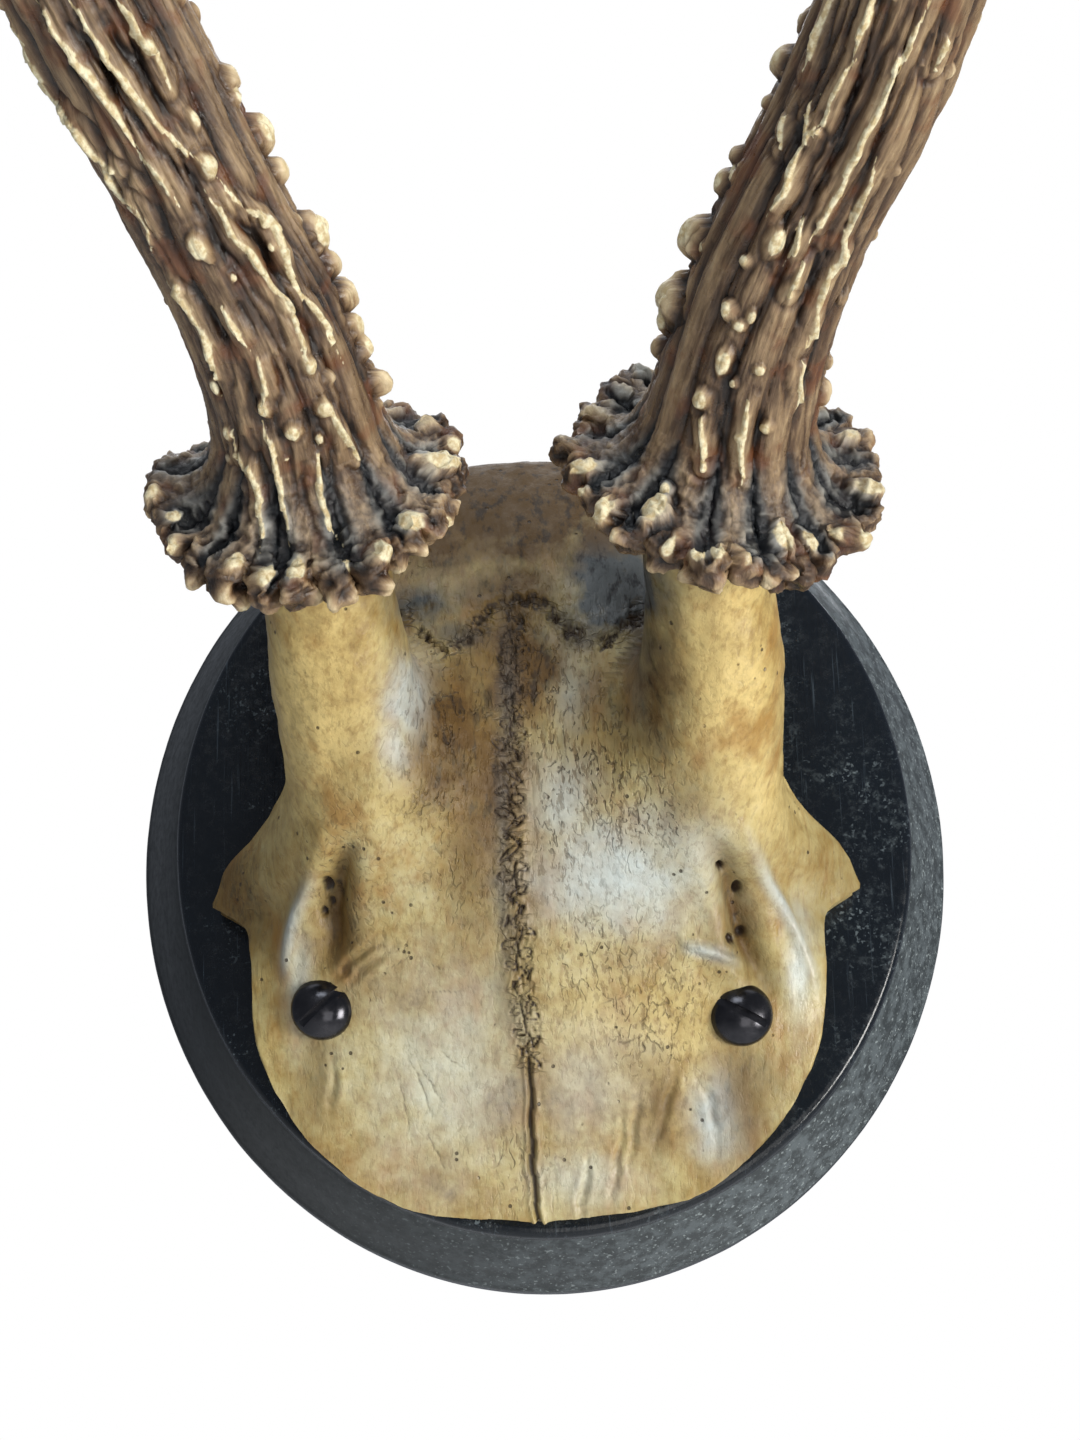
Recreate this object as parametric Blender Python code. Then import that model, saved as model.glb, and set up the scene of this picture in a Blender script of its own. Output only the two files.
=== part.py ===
"""Roe deer antler trophy: a sawn skull cap with both antlers, screwed to an ebonised oval plaque.

Metres, +Z up. The plaque's back lies in the plane y = 0 against the wall, the trophy looks along -Y, and
the origin is the centre of the plaque's back. Left and right are the viewer's, so left is -X.
"""

import math

import bmesh
import bpy
import numpy as np
from mathutils import Matrix, Vector

MM = 0.001
GAP = 0.3 * MM

# The oval plaque: a turned edge, a wide bevel and a rounded inner line round the flat face
PLAQUE_WIDTH = 110 * MM
PLAQUE_HEIGHT = 117.2 * MM
PLAQUE_THICKNESS = 16 * MM
EDGE_HEIGHT = 3.2 * MM
BEVEL_WIDTH = 6 * MM
BEVEL_TOP = 14.4 * MM
ARRIS = 0.7 * MM
PLAQUE_SIDES = 64

# The brass hanger plate let into the plaque's back
HANGER_WIDTH = 12 * MM
HANGER_LENGTH = 34 * MM
HANGER_THICKNESS = 1.5 * MM
HANGER_HEIGHT = 36 * MM
KEYHOLE_RADIUS = 3.4 * MM
KEYHOLE_SLOT = 3.4 * MM
KEYHOLE_DROP = 4 * MM
KEYHOLE_SLOT_LENGTH = 11 * MM
KEYHOLE_SLOT_RISE = 2 * MM
NAIL_POCKET_DEPTH = 5 * MM

# The skull cap's rim, right half, from the sawn front to the back: half width, height, depth from the wall
SKULL_BACK = PLAQUE_THICKNESS + GAP
CAP_RIM = (
    (0, -49.1, 20.3),
    (17, -47.0, 20.6),
    (26.3, -41.6, 22.0),
    (32.3, -34.5, 23.6),
    (36.0, -25.5, 25.0),
    (36.6, -16.0, 25.6),
    (37.6, -10.8, 24.0),
    (42.4, -7.3, 20.6),
    (40.4, -3.0, 22.6),
    (36.6, 0.4, 25.8),
    (33.0, 4.2, 29.0),
    (30.0, 12, 31.0),
    (29.0, 26, 28.0),
    (27.0, 38, 24.5),
    (19.4, 47.5, 22.5),
    (9.5, 51.6, 21.5),
    (0, 52.5, 21.3),
)
RIM_TIP = 7
CAP_SHIFT = (-1.2 * MM, -1.8 * MM)
CAP_CENTRE_HEIGHT = -2 * MM
MIDLINE_HEIGHTS = (-50, -42, -30, -20, 0, 12, 24, 52)
MIDLINE_DEPTHS = (22.0, 25.5, 29.5, 32.3, 38.0, 39.6, 40.0, 40.0)
RIM_STEPS = 3
CAP_RINGS = (0, 0.16, 0.32, 0.46, 0.58, 0.69, 0.79, 0.87, 0.94, 0.98, 1)
PEDICLE_RISE = 10 * MM
PEDICLE_RISE_SPREAD = 14 * MM
PEDICLE_RISE_PLACE = (23 * MM, 6 * MM)
CORONAL_SUTURE = 22.7 * MM

# Pedicles and the antlers' shared sizes, with distances along the beam from the middle of the burr
PEDICLE_RADIUS = 7.9 * MM
PEDICLE_FOOT_RADIUS = 8.8 * MM
PEDICLE_TOP_RADIUS = 8.7 * MM
PEDICLE_SIDES = 26
PEDICLE_LEAN = 0.1
FLARE_BULGE = 1.2 * MM
FLARE_ROOT_RADIUS = 4 * MM
FLARE_DEPTH = 21 * MM
BURR_UNDERSIDE = 3.4 * MM
BURR_TOP = 7.2 * MM
BURR_PROFILE = (
    (8.6, -3.4, 0),
    (12.4, -2.5, 0.3),
    (15.2, -1.6, 0.7),
    (17.2, -0.7, 1),
    (18.1, 0.8, 1),
    (17.4, 2.3, 1),
    (15.4, 2.7, 0.75),
    (13.2, 3.7, 0.5),
    (11.5, 5.6, 0.25),
    (10.8, 7.2, 0),
)
TOOTH_LENGTH = 1.9 * MM
LOBE_LENGTH = 1.3 * MM
LOBE_SPREAD = 0.55
LOBE_SMOOTHNESS = 0.75
RUFFLE_LENGTH = 1 * MM
RUFFLE_WAVES = ((0.45, 3, 1), (0.35, 5, 2.3))
RIM_TILT = 0.8 * MM
RIM_TILT_TURN = 0.5
RIM_RIPPLE = 1.7 * MM
LOBE_RISE = 0.5 * MM
BEAM_TURN_FROM_WALL = ((0, 58), (10, 58), (18, 55), (98, 53), (124, 32), (158, 30), (182, 44), (218, 50))
BEAM_RADII = (
    (0, 10.8),
    (9, 10),
    (20, 9.1),
    (36, 8.5),
    (66, 8.4),
    (98, 8.0),
    (118, 7.1),
    (156, 6),
    (186, 4.6),
    (218, 0.6),
)
FIRST_FORK = 100 * MM
SECOND_FORK = 156 * MM
FIRST_CUT = 118 * MM
SECOND_CUT = 172 * MM
ANTLER_LENGTH = 218 * MM
RIDGES = 13
RIDGE_HEIGHT = 0.85 * MM
RIDGE_FADE = ((3, 0), (10, 1), (70, 1), (130, 0.75), (180, 0.4), (215, 0.05))
RIDGE_MEAN = 0.76
RIDGE_TWISTS = ((0.9, 17 * MM, 0), (0.5, 7 * MM, 2))
BURR_SIDES = 4 * RIDGES
LOWER_BEAM_SIDES = 3 * RIDGES
UPPER_BEAM_SIDES = 2 * RIDGES
BEAM_SPACING = 5 * MM
TINE_SPACING = 4 * MM
FRONT_TINE_SIDES = 16
REAR_TINE_SIDES = 14
POINT_LENGTH = 1.5 * MM
BLUNTNESS = 0.4 * MM
PEARLS = 20
PEARL_RADIUS = 1.25 * MM
PEARL_START = 13 * MM
PEARL_SPAN = 82 * MM
PEARL_STRETCH = 1.6
KNOB_STRETCH = 1.25
KNOB_SWING = 0.35
GOLDEN_ANGLE = math.radians(137.5)

# A tine: where it leaves the beam, its length, its root radius, and its turn from the wall at root and tip
FRONT_TINE = {"fork": FIRST_FORK, "length": 54 * MM, "root": 5.7 * MM, "turn": (98, 62), "lean": 9}
REAR_TINE = {"fork": SECOND_FORK, "length": 40 * MM, "root": 4.8 * MM, "turn": (-24, 4), "lean": 12}
TINE_STUB = 18 * MM

# What differs between the two antlers: burr centre, outward lean along the beam, and the inner side's knobs
ANTLERS = {
    "left": {
        "side": -1,
        "burr": (-26.2, -64.0, 30.7),
        "foot": (-24.3, -46.2, 14.6),
        "lean": ((0, 4), (10, 4), (20, 13), (34, 21), (59, 21), (100, 17), (130, 10), (160, 2), (218, -12)),
        "knobs": ((21, 2.3), (29, 2.7), (35, 2.3), (45, 1.8), (49, 2.4), (56, 1.8), (68, 2.2), (77, 1.8)),
        "ruffle": 0.9,
    },
    "right": {
        "side": 1,
        "burr": (21.9, -64.0, 30.8),
        "foot": (21.4, -46.4, 14.1),
        "lean": (
            (0, 8),
            (10, 8),
            (20, 12),
            (32, 20),
            (44, 26),
            (60, 16),
            (100, 16),
            (130, 9),
            (160, 1),
            (218, -13),
        ),
        "knobs": ((18, 2.3), (27, 2.8), (35, 2.6), (42, 2.0), (58, 2.3), (70, 1.9), (80, 1.6)),
        "ruffle": 2.6,
    },
}

# The two round-head screws: place on the skull, and the slot's turn as seen from the front
SCREWS = {"left": (-28.5, -24.1, 40), "right": (24.2, -26.4, -28)}
HEAD_RADIUS = 4 * MM
HEAD_HEIGHT = 3 * MM
SHANK_RADIUS = 2 * MM
SHANK_END = 5 * MM
SLOT_WIDTH = 1 * MM
SLOT_DEPTH = 1.1 * MM
SEAT_DEPTH = 1 * MM
HEAD_EDGE = 0.5 * MM
HEAD_RINGS = 4
HEAD_SIDES = 24
HEAD_CLEARANCE = 0.4 * MM
CUTTER_REACH = 12 * MM
HOLE_SIDES = 20

MATERIALS = {
    "ebonised_wood": ((0.012, 0.014, 0.016), 0.32, 0.0),
    "bone": ((0.55, 0.42, 0.2), 0.5, 0.0),
    "antler": ((0.22, 0.13, 0.065), 0.5, 0.0),
    "dark_steel": ((0.035, 0.028, 0.024), 0.3, 0.9),
    "brass": ((0.6, 0.42, 0.16), 0.35, 1.0),
}


def clear_scene():
    for obj in list(bpy.data.objects):
        bpy.data.objects.remove(obj, do_unlink=True)


def make_materials():
    made = {}
    for name, (colour, roughness, metallic) in MATERIALS.items():
        material = bpy.data.materials.new(name)
        material.use_nodes = True
        shader = material.node_tree.nodes["Principled BSDF"]
        shader.inputs["Base Color"].default_value = (*colour, 1)
        shader.inputs["Roughness"].default_value = roughness
        shader.inputs["Metallic"].default_value = metallic
        made[name] = material
    return made


def unit(vector):
    return vector / np.linalg.norm(vector)


def wrapped(around, rows, place):
    """A closed skin: a grid rolled round an axis, with its first and last rows each drawn to a point."""
    bm = bmesh.new()
    bmesh.ops.create_grid(bm, x_segments=around, y_segments=rows, size=0.5)
    for vert in bm.verts:
        column = round((vert.co.x + 0.5) * around) % around
        row = round((vert.co.y + 0.5) * rows)
        vert.co = Vector(place(2 * math.pi * column / around, row))
    bmesh.ops.remove_doubles(bm, verts=bm.verts, dist=1e-7)
    bmesh.ops.recalc_face_normals(bm, faces=bm.faces)
    return bm


def new_object(name, bm):
    mesh = bpy.data.meshes.new(name)
    bm.to_mesh(mesh)
    bm.free()
    obj = bpy.data.objects.new(name, mesh)
    bpy.context.scene.collection.objects.link(obj)
    return obj


def keep_largest_surface(obj):
    bm = bmesh.new()
    bm.from_mesh(obj.data)
    left = set(bm.faces)
    surfaces = []
    while left:
        edge_of_growth = [left.pop()]
        surface = set(edge_of_growth)
        while edge_of_growth:
            face = edge_of_growth.pop()
            for edge in face.edges:
                for other in edge.link_faces:
                    if other in left:
                        left.discard(other)
                        surface.add(other)
                        edge_of_growth.append(other)
        surfaces.append(surface)
    largest = max(surfaces, key=len)
    bmesh.ops.delete(bm, geom=[f for f in bm.faces if f not in largest], context="FACES")
    bm.to_mesh(obj.data)
    bm.free()


def combine(obj, others, operation):
    """Joins or cuts one object with others by one Boolean, applies it, and removes the others."""
    group = bpy.data.collections.new("pieces")
    for other in others:
        group.objects.link(other)
    boolean = obj.modifiers.new(operation, "BOOLEAN")
    boolean.operation = operation
    boolean.operand_type = "COLLECTION"
    boolean.collection = group
    boolean.solver = "EXACT"
    graph = bpy.context.evaluated_depsgraph_get()
    done = bpy.data.meshes.new_from_object(obj.evaluated_get(graph), depsgraph=graph)
    obj.modifiers.clear()
    obj.data = done
    for other in others:
        bpy.data.objects.remove(other, do_unlink=True)
    bpy.data.collections.remove(group)
    keep_largest_surface(obj)


def finish(obj, material, sharp_angle=50):
    obj.data.materials.clear()
    obj.data.materials.append(material)
    obj.data.shade_smooth()
    obj.data.set_sharp_from_angle(angle=math.radians(sharp_angle))


def smooth_curve(points, steps):
    """A Catmull-Rom curve through the points, with this many steps between each two."""
    points = np.asarray(points, float)
    padded = np.vstack([2 * points[0] - points[1], points, 2 * points[-1] - points[-2]])
    found = []
    for i in range(1, len(padded) - 2):
        a, b, c, d = padded[i - 1 : i + 3]
        for t in np.arange(steps) / steps:
            bend = (2 * a - 5 * b + 4 * c - d) * t**2 + (3 * b - a - 3 * c + d) * t**3
            found.append(0.5 * (2 * b + (c - a) * t + bend))
    return np.array(found + [points[-1]])


def cap_rim():
    """The rim as a closed loop of (x, height, depth) in metres, with the process tips kept sharp."""
    half = np.array(CAP_RIM) * MM
    front = smooth_curve(half[: RIM_TIP + 1], RIM_STEPS)
    back = smooth_curve(half[RIM_TIP:], RIM_STEPS)
    right = np.vstack([front[:-1], back])
    left = right[-2:0:-1] * (-1, 1, 1)
    return np.vstack([right, left])


def midline_depth(height):
    return np.interp(height, np.array(MIDLINE_HEIGHTS) * MM, np.array(MIDLINE_DEPTHS) * MM)


def cap_point(rim_point, share):
    """The skull's surface at a share of the way from its centre to a rim point."""
    x = rim_point[0] * share
    z = CAP_CENTRE_HEIGHT + (rim_point[1] - CAP_CENTRE_HEIGHT) * share
    dome = np.clip((z - 4 * MM) / (24 * MM), 0, 1)
    fall = (1 - share ** (2.5 + 0.5 * dome)) ** (1 - 0.5 * dome)
    rise_x, rise_z = PEDICLE_RISE_PLACE
    off_pedicle = math.hypot(abs(x) - rise_x, z - rise_z) / PEDICLE_RISE_SPREAD
    rise = PEDICLE_RISE * math.exp(-(off_pedicle**2)) * (1 - share**6)
    depth = rim_point[2] + (midline_depth(z) - rim_point[2]) * fall + rise
    return x + CAP_SHIFT[0], -depth, z + CAP_SHIFT[1]


def skull_cap_mesh():
    rim = cap_rim()
    count = len(rim)
    rings = len(CAP_RINGS)

    def place(angle, row):
        point = rim[round(angle / (2 * math.pi) * count) % count]
        if row < rings:
            return cap_point(point, CAP_RINGS[row])
        share = 1 if row == rings else 0
        height = CAP_CENTRE_HEIGHT + (point[1] - CAP_CENTRE_HEIGHT) * share
        return point[0] * share + CAP_SHIFT[0], -SKULL_BACK, height + CAP_SHIFT[1]

    return wrapped(count, rings + 1, place)


def keep_side(bm, height, above):
    """Cuts the skull across at a height, closes the cut, and keeps the part above or below it."""
    geometry = bm.verts[:] + bm.edges[:] + bm.faces[:]
    cut = bmesh.ops.bisect_plane(
        bm,
        geom=geometry,
        plane_co=(0, 0, height),
        plane_no=(0, 0, 1),
        clear_inner=above,
        clear_outer=not above,
    )
    edges = [e for e in cut["geom_cut"] if isinstance(e, bmesh.types.BMEdge)]
    bmesh.ops.triangle_fill(bm, edges=edges, use_beauty=True)
    bmesh.ops.recalc_face_normals(bm, faces=bm.faces)
    return bm


def skull_depth(x, z):
    """How far the skull's surface stands from the wall at a place."""
    rim = cap_rim()
    place = np.array([x - CAP_SHIFT[0], z - CAP_SHIFT[1] - CAP_CENTRE_HEIGHT])
    angles = np.arctan2(rim[:, 1] - CAP_CENTRE_HEIGHT, rim[:, 0])
    nearest = rim[np.argmin(np.abs(np.angle(np.exp(1j * (angles - math.atan2(place[1], place[0]))))))]
    reach = math.hypot(nearest[0], nearest[1] - CAP_CENTRE_HEIGHT)
    return -cap_point(nearest, np.linalg.norm(place) / reach)[1]


def direction(turn, lean, side):
    """A direction from its turn away from the wall and its lean away from the midline, in degrees."""
    turn = math.radians(turn)
    lean = math.radians(lean)
    upright = math.cos(lean)
    return np.array([side * math.sin(lean), -upright * math.sin(turn), upright * math.cos(turn)])


def table(pairs, at):
    places = [p[0] * MM for p in pairs]
    return float(np.interp(at, places, [p[1] for p in pairs]))


def beam_line(antler, step=1 * MM):
    """Points along the beam's axis, from the middle of the burr to the tip, one a millimetre."""
    point = np.array(antler["burr"]) * MM
    points = [point]
    for i in range(round(ANTLER_LENGTH / step)):
        at = (i + 0.5) * step
        heading = direction(table(BEAM_TURN_FROM_WALL, at), table(antler["lean"], at), antler["side"])
        point = point + heading * step
        points.append(point)
    return np.array(points)


def tine_line(antler, tine, step=1 * MM):
    beam = beam_line(antler)
    point = beam[round(tine["fork"] / step)]
    points = [point]
    count = round(tine["length"] / step)
    for i in range(count):
        turn = np.interp((i + 0.5) / count, (0, 1), tine["turn"])
        point = point + direction(turn, tine["lean"], antler["side"]) * step
        points.append(point)
    return np.array(points)


def frame_at(line, index, side):
    """The axis at a point of a line, the outward side of it, and the side that faces the viewer."""
    low, high = max(index - 1, 0), min(index + 1, len(line) - 1)
    along = unit(line[high] - line[low])
    outward = np.array([side, 0, 0]) - along * side * along[0]
    outward = unit(outward)
    facing = np.cross(along, outward)
    if facing @ np.array([0, -1, -1]) < 0:
        facing = -facing
    return along, outward, facing


def ridge_wander(at):
    """How far the ridges have turned round the beam at a place along it, as a phase."""
    return sum(turn * math.sin(at / length + start) for turn, length, start in RIDGE_TWISTS)


def ridge_height(phase, at):
    """Rounded lengthwise ridges between sharp furrows, which fade towards the tip."""
    return RIDGE_HEIGHT * table(RIDGE_FADE, at) * (math.sqrt(abs(math.sin(phase))) - RIDGE_MEAN)


def rod(line, side, start, end, spacing, around, radius, ridged=True):
    """A rod along part of a line: flat where it is cut and pointed where the line ends."""
    pointed = end >= (len(line) - 1) * MM
    count = max(2, round((end - start) / spacing))
    places = np.linspace(start, end, count + 1)
    if pointed:
        places[-2] = end - POINT_LENGTH
    last = count if pointed else count + 2

    def place(angle, row):
        at = places[min(max(row - 1, 0), count)]
        index = int(at // MM)
        rest = at / MM - index
        following = min(index + 1, len(line) - 1)
        centre = line[index] * (1 - rest) + line[following] * rest
        if row in (0, last):
            return centre if not (pointed and row == last) else line[-1]
        along, outward, facing = frame_at(line, min(index, len(line) - 2), side)
        size = radius(at)
        if ridged:
            phase = RIDGES / 2 * angle
            size += ridge_height(phase, at)
            angle -= ridge_wander(at) / (RIDGES / 2)
        return centre + size * (outward * math.cos(angle) + facing * math.sin(angle))

    return wrapped(around, last, place)


def beam_radius(at):
    return table(BEAM_RADII, at) * MM


def tine_radius(tine):
    def radius(at):
        share = at / tine["length"]
        return tine["root"] * (1 - share**1.6) + BLUNTNESS

    return radius


def pearl(centre, along, out, radius, stretch):
    """A pearl: a small ball, longer along the beam, that sits with its root inside."""
    bm = bmesh.new()
    bmesh.ops.create_icosphere(bm, subdivisions=1, radius=radius)
    across = np.cross(along, out)
    turn = Matrix([Vector(across), Vector(along) * stretch, Vector(out)]).transposed().to_4x4()
    bmesh.ops.transform(bm, matrix=Matrix.Translation(Vector(centre)) @ turn, verts=bm.verts)
    bmesh.ops.recalc_face_normals(bm, faces=bm.faces)
    return new_object("pearl", bm)


def pearls(antler, line):
    """Pearls spread round the lower beam by the golden angle, and the larger knobs of its inner side."""
    side = antler["side"]
    made = []
    for i in range(PEARLS):
        at = PEARL_START + i * (PEARL_SPAN / PEARLS)
        angle = i * GOLDEN_ANGLE
        size = PEARL_RADIUS * (1 + 0.3 * math.sin(2.3 * i))
        along, outward, facing = frame_at(line, round(at / MM), side)
        out = outward * math.cos(angle) + facing * math.sin(angle)
        centre = line[round(at / MM)] + out * (beam_radius(at) + 0.1 * size)
        made.append(pearl(centre, along, out, size, PEARL_STRETCH))
    for i, (place, size) in enumerate(antler["knobs"]):
        at = place * MM
        angle = math.pi + KNOB_SWING * math.sin(1.7 * i)
        along, outward, facing = frame_at(line, place, side)
        out = outward * math.cos(angle) + facing * math.sin(angle)
        centre = line[place] + out * (beam_radius(at) - 0.1 * size * MM)
        made.append(pearl(centre, along, out, size * MM, KNOB_STRETCH))
    return made


def rim_ruffle(angle, antler):
    """The slow in-and-out wave of the burr's rim."""
    start = antler["ruffle"]
    return sum(height * math.sin(waves * angle + turn * start) for height, waves, turn in RUFFLE_WAVES)


def build_burr(name, antler, material):
    """The coronet: a flaring skirt round the antler's foot, with a toothed and ruffled rim."""
    line = beam_line(antler)
    along, outward, facing = frame_at(line, 0, antler["side"])
    profile = [(r * MM, s * MM, frill) for r, s, frill in BURR_PROFILE]
    profile = [(0, -BURR_UNDERSIDE, 0), *profile, (0, BURR_TOP, 0)]

    def place(angle, row):
        radius, height, frill = profile[row]
        tooth = abs(math.sin(RIDGES * angle))
        turned_angle = angle - ridge_wander(0) / RIDGES
        off_lobe = (turned_angle + math.pi) % (2 * math.pi) - math.pi
        lobe = math.exp(-((off_lobe / LOBE_SPREAD) ** 2))
        ruffle = rim_ruffle(turned_angle, antler)
        teeth = TOOTH_LENGTH * (tooth * (1 - LOBE_SMOOTHNESS * lobe) - 0.5)
        tilt = RIM_TILT * math.cos(2 * turned_angle + RIM_TILT_TURN) + RIM_RIPPLE * ruffle + LOBE_RISE * lobe
        radius += frill**2 * (teeth + LOBE_LENGTH * lobe + RUFFLE_LENGTH * ruffle)
        height += frill**1.5 * tilt
        centre = np.array(antler["burr"]) * MM + along * height
        return centre + radius * (outward * math.cos(turned_angle) + facing * math.sin(turned_angle))

    finish(new_object(name, wrapped(BURR_SIDES, len(profile) - 1, place)), material)


def pedicle_line(antler):
    """The pedicle's axis, from the skull to the burr's underside, and on down into the skull."""
    along = frame_at(beam_line(antler), 0, antler["side"])[0]
    top = np.array(antler["burr"]) * MM - along * (BURR_UNDERSIDE + GAP)
    foot = np.array(antler["foot"]) * MM
    foot_heading = unit(top - foot) + np.array([0, 0, PEDICLE_LEAN])
    foot_heading = unit(foot_heading)
    length = np.linalg.norm(top - foot)
    t = np.linspace(0, 1, 13)[:, None]
    curve = (
        (2 * t**3 - 3 * t**2 + 1) * foot
        + (t**3 - 2 * t**2 + t) * length * foot_heading
        + (3 * t**2 - 2 * t**3) * top
        + (t**3 - t**2) * length * along
    )
    return curve, foot_heading


def round_column(points, headings, radii, side, around):
    """A column through the points, each ring square to its heading, closed flat at both ends."""
    rings = len(points)

    def place(angle, row):
        ring = min(max(row - 1, 0), rings - 1)
        if row in (0, rings + 1):
            return points[ring]
        along = headings[ring]
        outward = unit(np.array([side, 0, 0]) - along * side * along[0])
        facing = np.cross(along, outward)
        return points[ring] + radii[ring] * (outward * math.cos(angle) + facing * math.sin(angle))

    return wrapped(around, rings + 1, place)


def build_pedicle(name, antler, material):
    points, foot_heading = pedicle_line(antler)
    headings = np.gradient(points, axis=0)
    headings[0] = foot_heading
    headings[-1] = frame_at(beam_line(antler), 0, antler["side"])[0]
    headings = [unit(h) for h in headings]
    start = points[0] + headings[0] * GAP
    points = np.vstack([start, points[2::2]])
    headings = [headings[0]] + headings[2::2]
    share = np.linspace(0, 1, len(points))
    widths = (PEDICLE_FOOT_RADIUS, PEDICLE_RADIUS, PEDICLE_RADIUS, PEDICLE_TOP_RADIUS)
    radii = np.interp(share, (0, 0.45, 0.8, 1), widths)
    bm = round_column(points, headings, radii, antler["side"], PEDICLE_SIDES)
    finish(new_object(name, bm), material)


def pedicle_flare(antler):
    """The widening foot of a pedicle, which is one piece with the frontal bone."""
    foot = np.array(antler["foot"]) * MM
    heading = pedicle_line(antler)[1]
    share = np.linspace(0, 1, 7)
    points = [foot - heading * FLARE_DEPTH * (1 - s) for s in share]
    taper = np.interp(share, (0, 0.5, 1), (FLARE_ROOT_RADIUS, PEDICLE_FOOT_RADIUS, PEDICLE_FOOT_RADIUS))
    radii = taper + FLARE_BULGE * np.sin(math.pi * share)
    bm = round_column(points, [heading] * len(points), radii, antler["side"], PEDICLE_SIDES)
    return new_object("flare", bm)


def cutter_box(size, centre, turn=0.0):
    bm = bmesh.new()
    bmesh.ops.create_cube(bm, size=1)
    move = Matrix.Translation(Vector(centre)) @ Matrix.Rotation(turn, 4, "Y")
    bmesh.ops.transform(bm, matrix=move @ Matrix.Diagonal((*size, 1)), verts=bm.verts)
    return new_object("cutter", bm)


def turned(profile, centre, around):
    """A round piece turned about an axis along Y, from (radius, depth from the wall) pairs."""

    def place(angle, row):
        radius, depth = profile[row]
        return centre[0] + radius * math.cos(angle), -depth, centre[1] + radius * math.sin(angle)

    return wrapped(around, len(profile) - 1, place)


def screw_seat(place):
    """The depth of the flat on which a screw's head sits."""
    x, z, _ = place
    return skull_depth(x * MM, z * MM) - SEAT_DEPTH


def screw_hole(place):
    x, z, _ = place
    seat = screw_seat(place)
    hole = SHANK_RADIUS + GAP
    wide = HEAD_RADIUS + HEAD_CLEARANCE
    end = SHANK_END - GAP
    top = seat + CUTTER_REACH
    profile = ((0, end), (hole, end), (hole, seat), (wide, seat), (wide, top), (0, top))
    return new_object("cutter", turned(profile, (x * MM, z * MM), HOLE_SIDES))


def build_screw(name, place, material):
    x, z, slot_turn = place
    seat = screw_seat(place) + GAP
    profile = [(0, SHANK_END), (SHANK_RADIUS, SHANK_END + 1 * MM), (SHANK_RADIUS, seat), (HEAD_RADIUS, seat)]
    for step in range(HEAD_RINGS + 1):
        turn = math.radians(90 * step / HEAD_RINGS)
        height = HEAD_EDGE + (HEAD_HEIGHT - HEAD_EDGE) * math.sin(turn)
        profile.append((HEAD_RADIUS * math.cos(turn) if step < HEAD_RINGS else 0, seat + height))
    screw = new_object(name, turned(profile, (x * MM, z * MM), HEAD_SIDES))
    top = seat + HEAD_HEIGHT
    slot = cutter_box(
        (3 * HEAD_RADIUS, 2 * SLOT_DEPTH, SLOT_WIDTH), (x * MM, -top, z * MM), math.radians(-slot_turn)
    )
    combine(screw, [slot], "DIFFERENCE")
    finish(screw, material)


def build_skull(material):
    parietal = new_object("parietal_bone", keep_side(skull_cap_mesh(), CORONAL_SUTURE + GAP / 2, above=True))
    finish(parietal, material)
    frontal = new_object("frontal_bone", keep_side(skull_cap_mesh(), CORONAL_SUTURE - GAP / 2, above=False))
    combine(frontal, [pedicle_flare(antler) for antler in ANTLERS.values()], "UNION")
    combine(frontal, [screw_hole(place) for place in SCREWS.values()], "DIFFERENCE")
    finish(frontal, material)


def keyhole(depth_from, depth_to, radius, slot):
    """A round hole for a nail's head with a narrower slot above it, as one cutter."""
    profile = ((0, depth_from), (radius, depth_from), (radius, depth_to), (0, depth_to))
    hole = new_object("cutter", turned(profile, (0, HANGER_HEIGHT - KEYHOLE_DROP), HOLE_SIDES))
    slot_size = (slot, depth_to - depth_from, KEYHOLE_SLOT_LENGTH)
    slot_place = (0, -(depth_from + depth_to) / 2, HANGER_HEIGHT + KEYHOLE_SLOT_RISE)
    slot_box = cutter_box(slot_size, slot_place)
    combine(hole, [slot_box], "UNION")
    return hole


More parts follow.
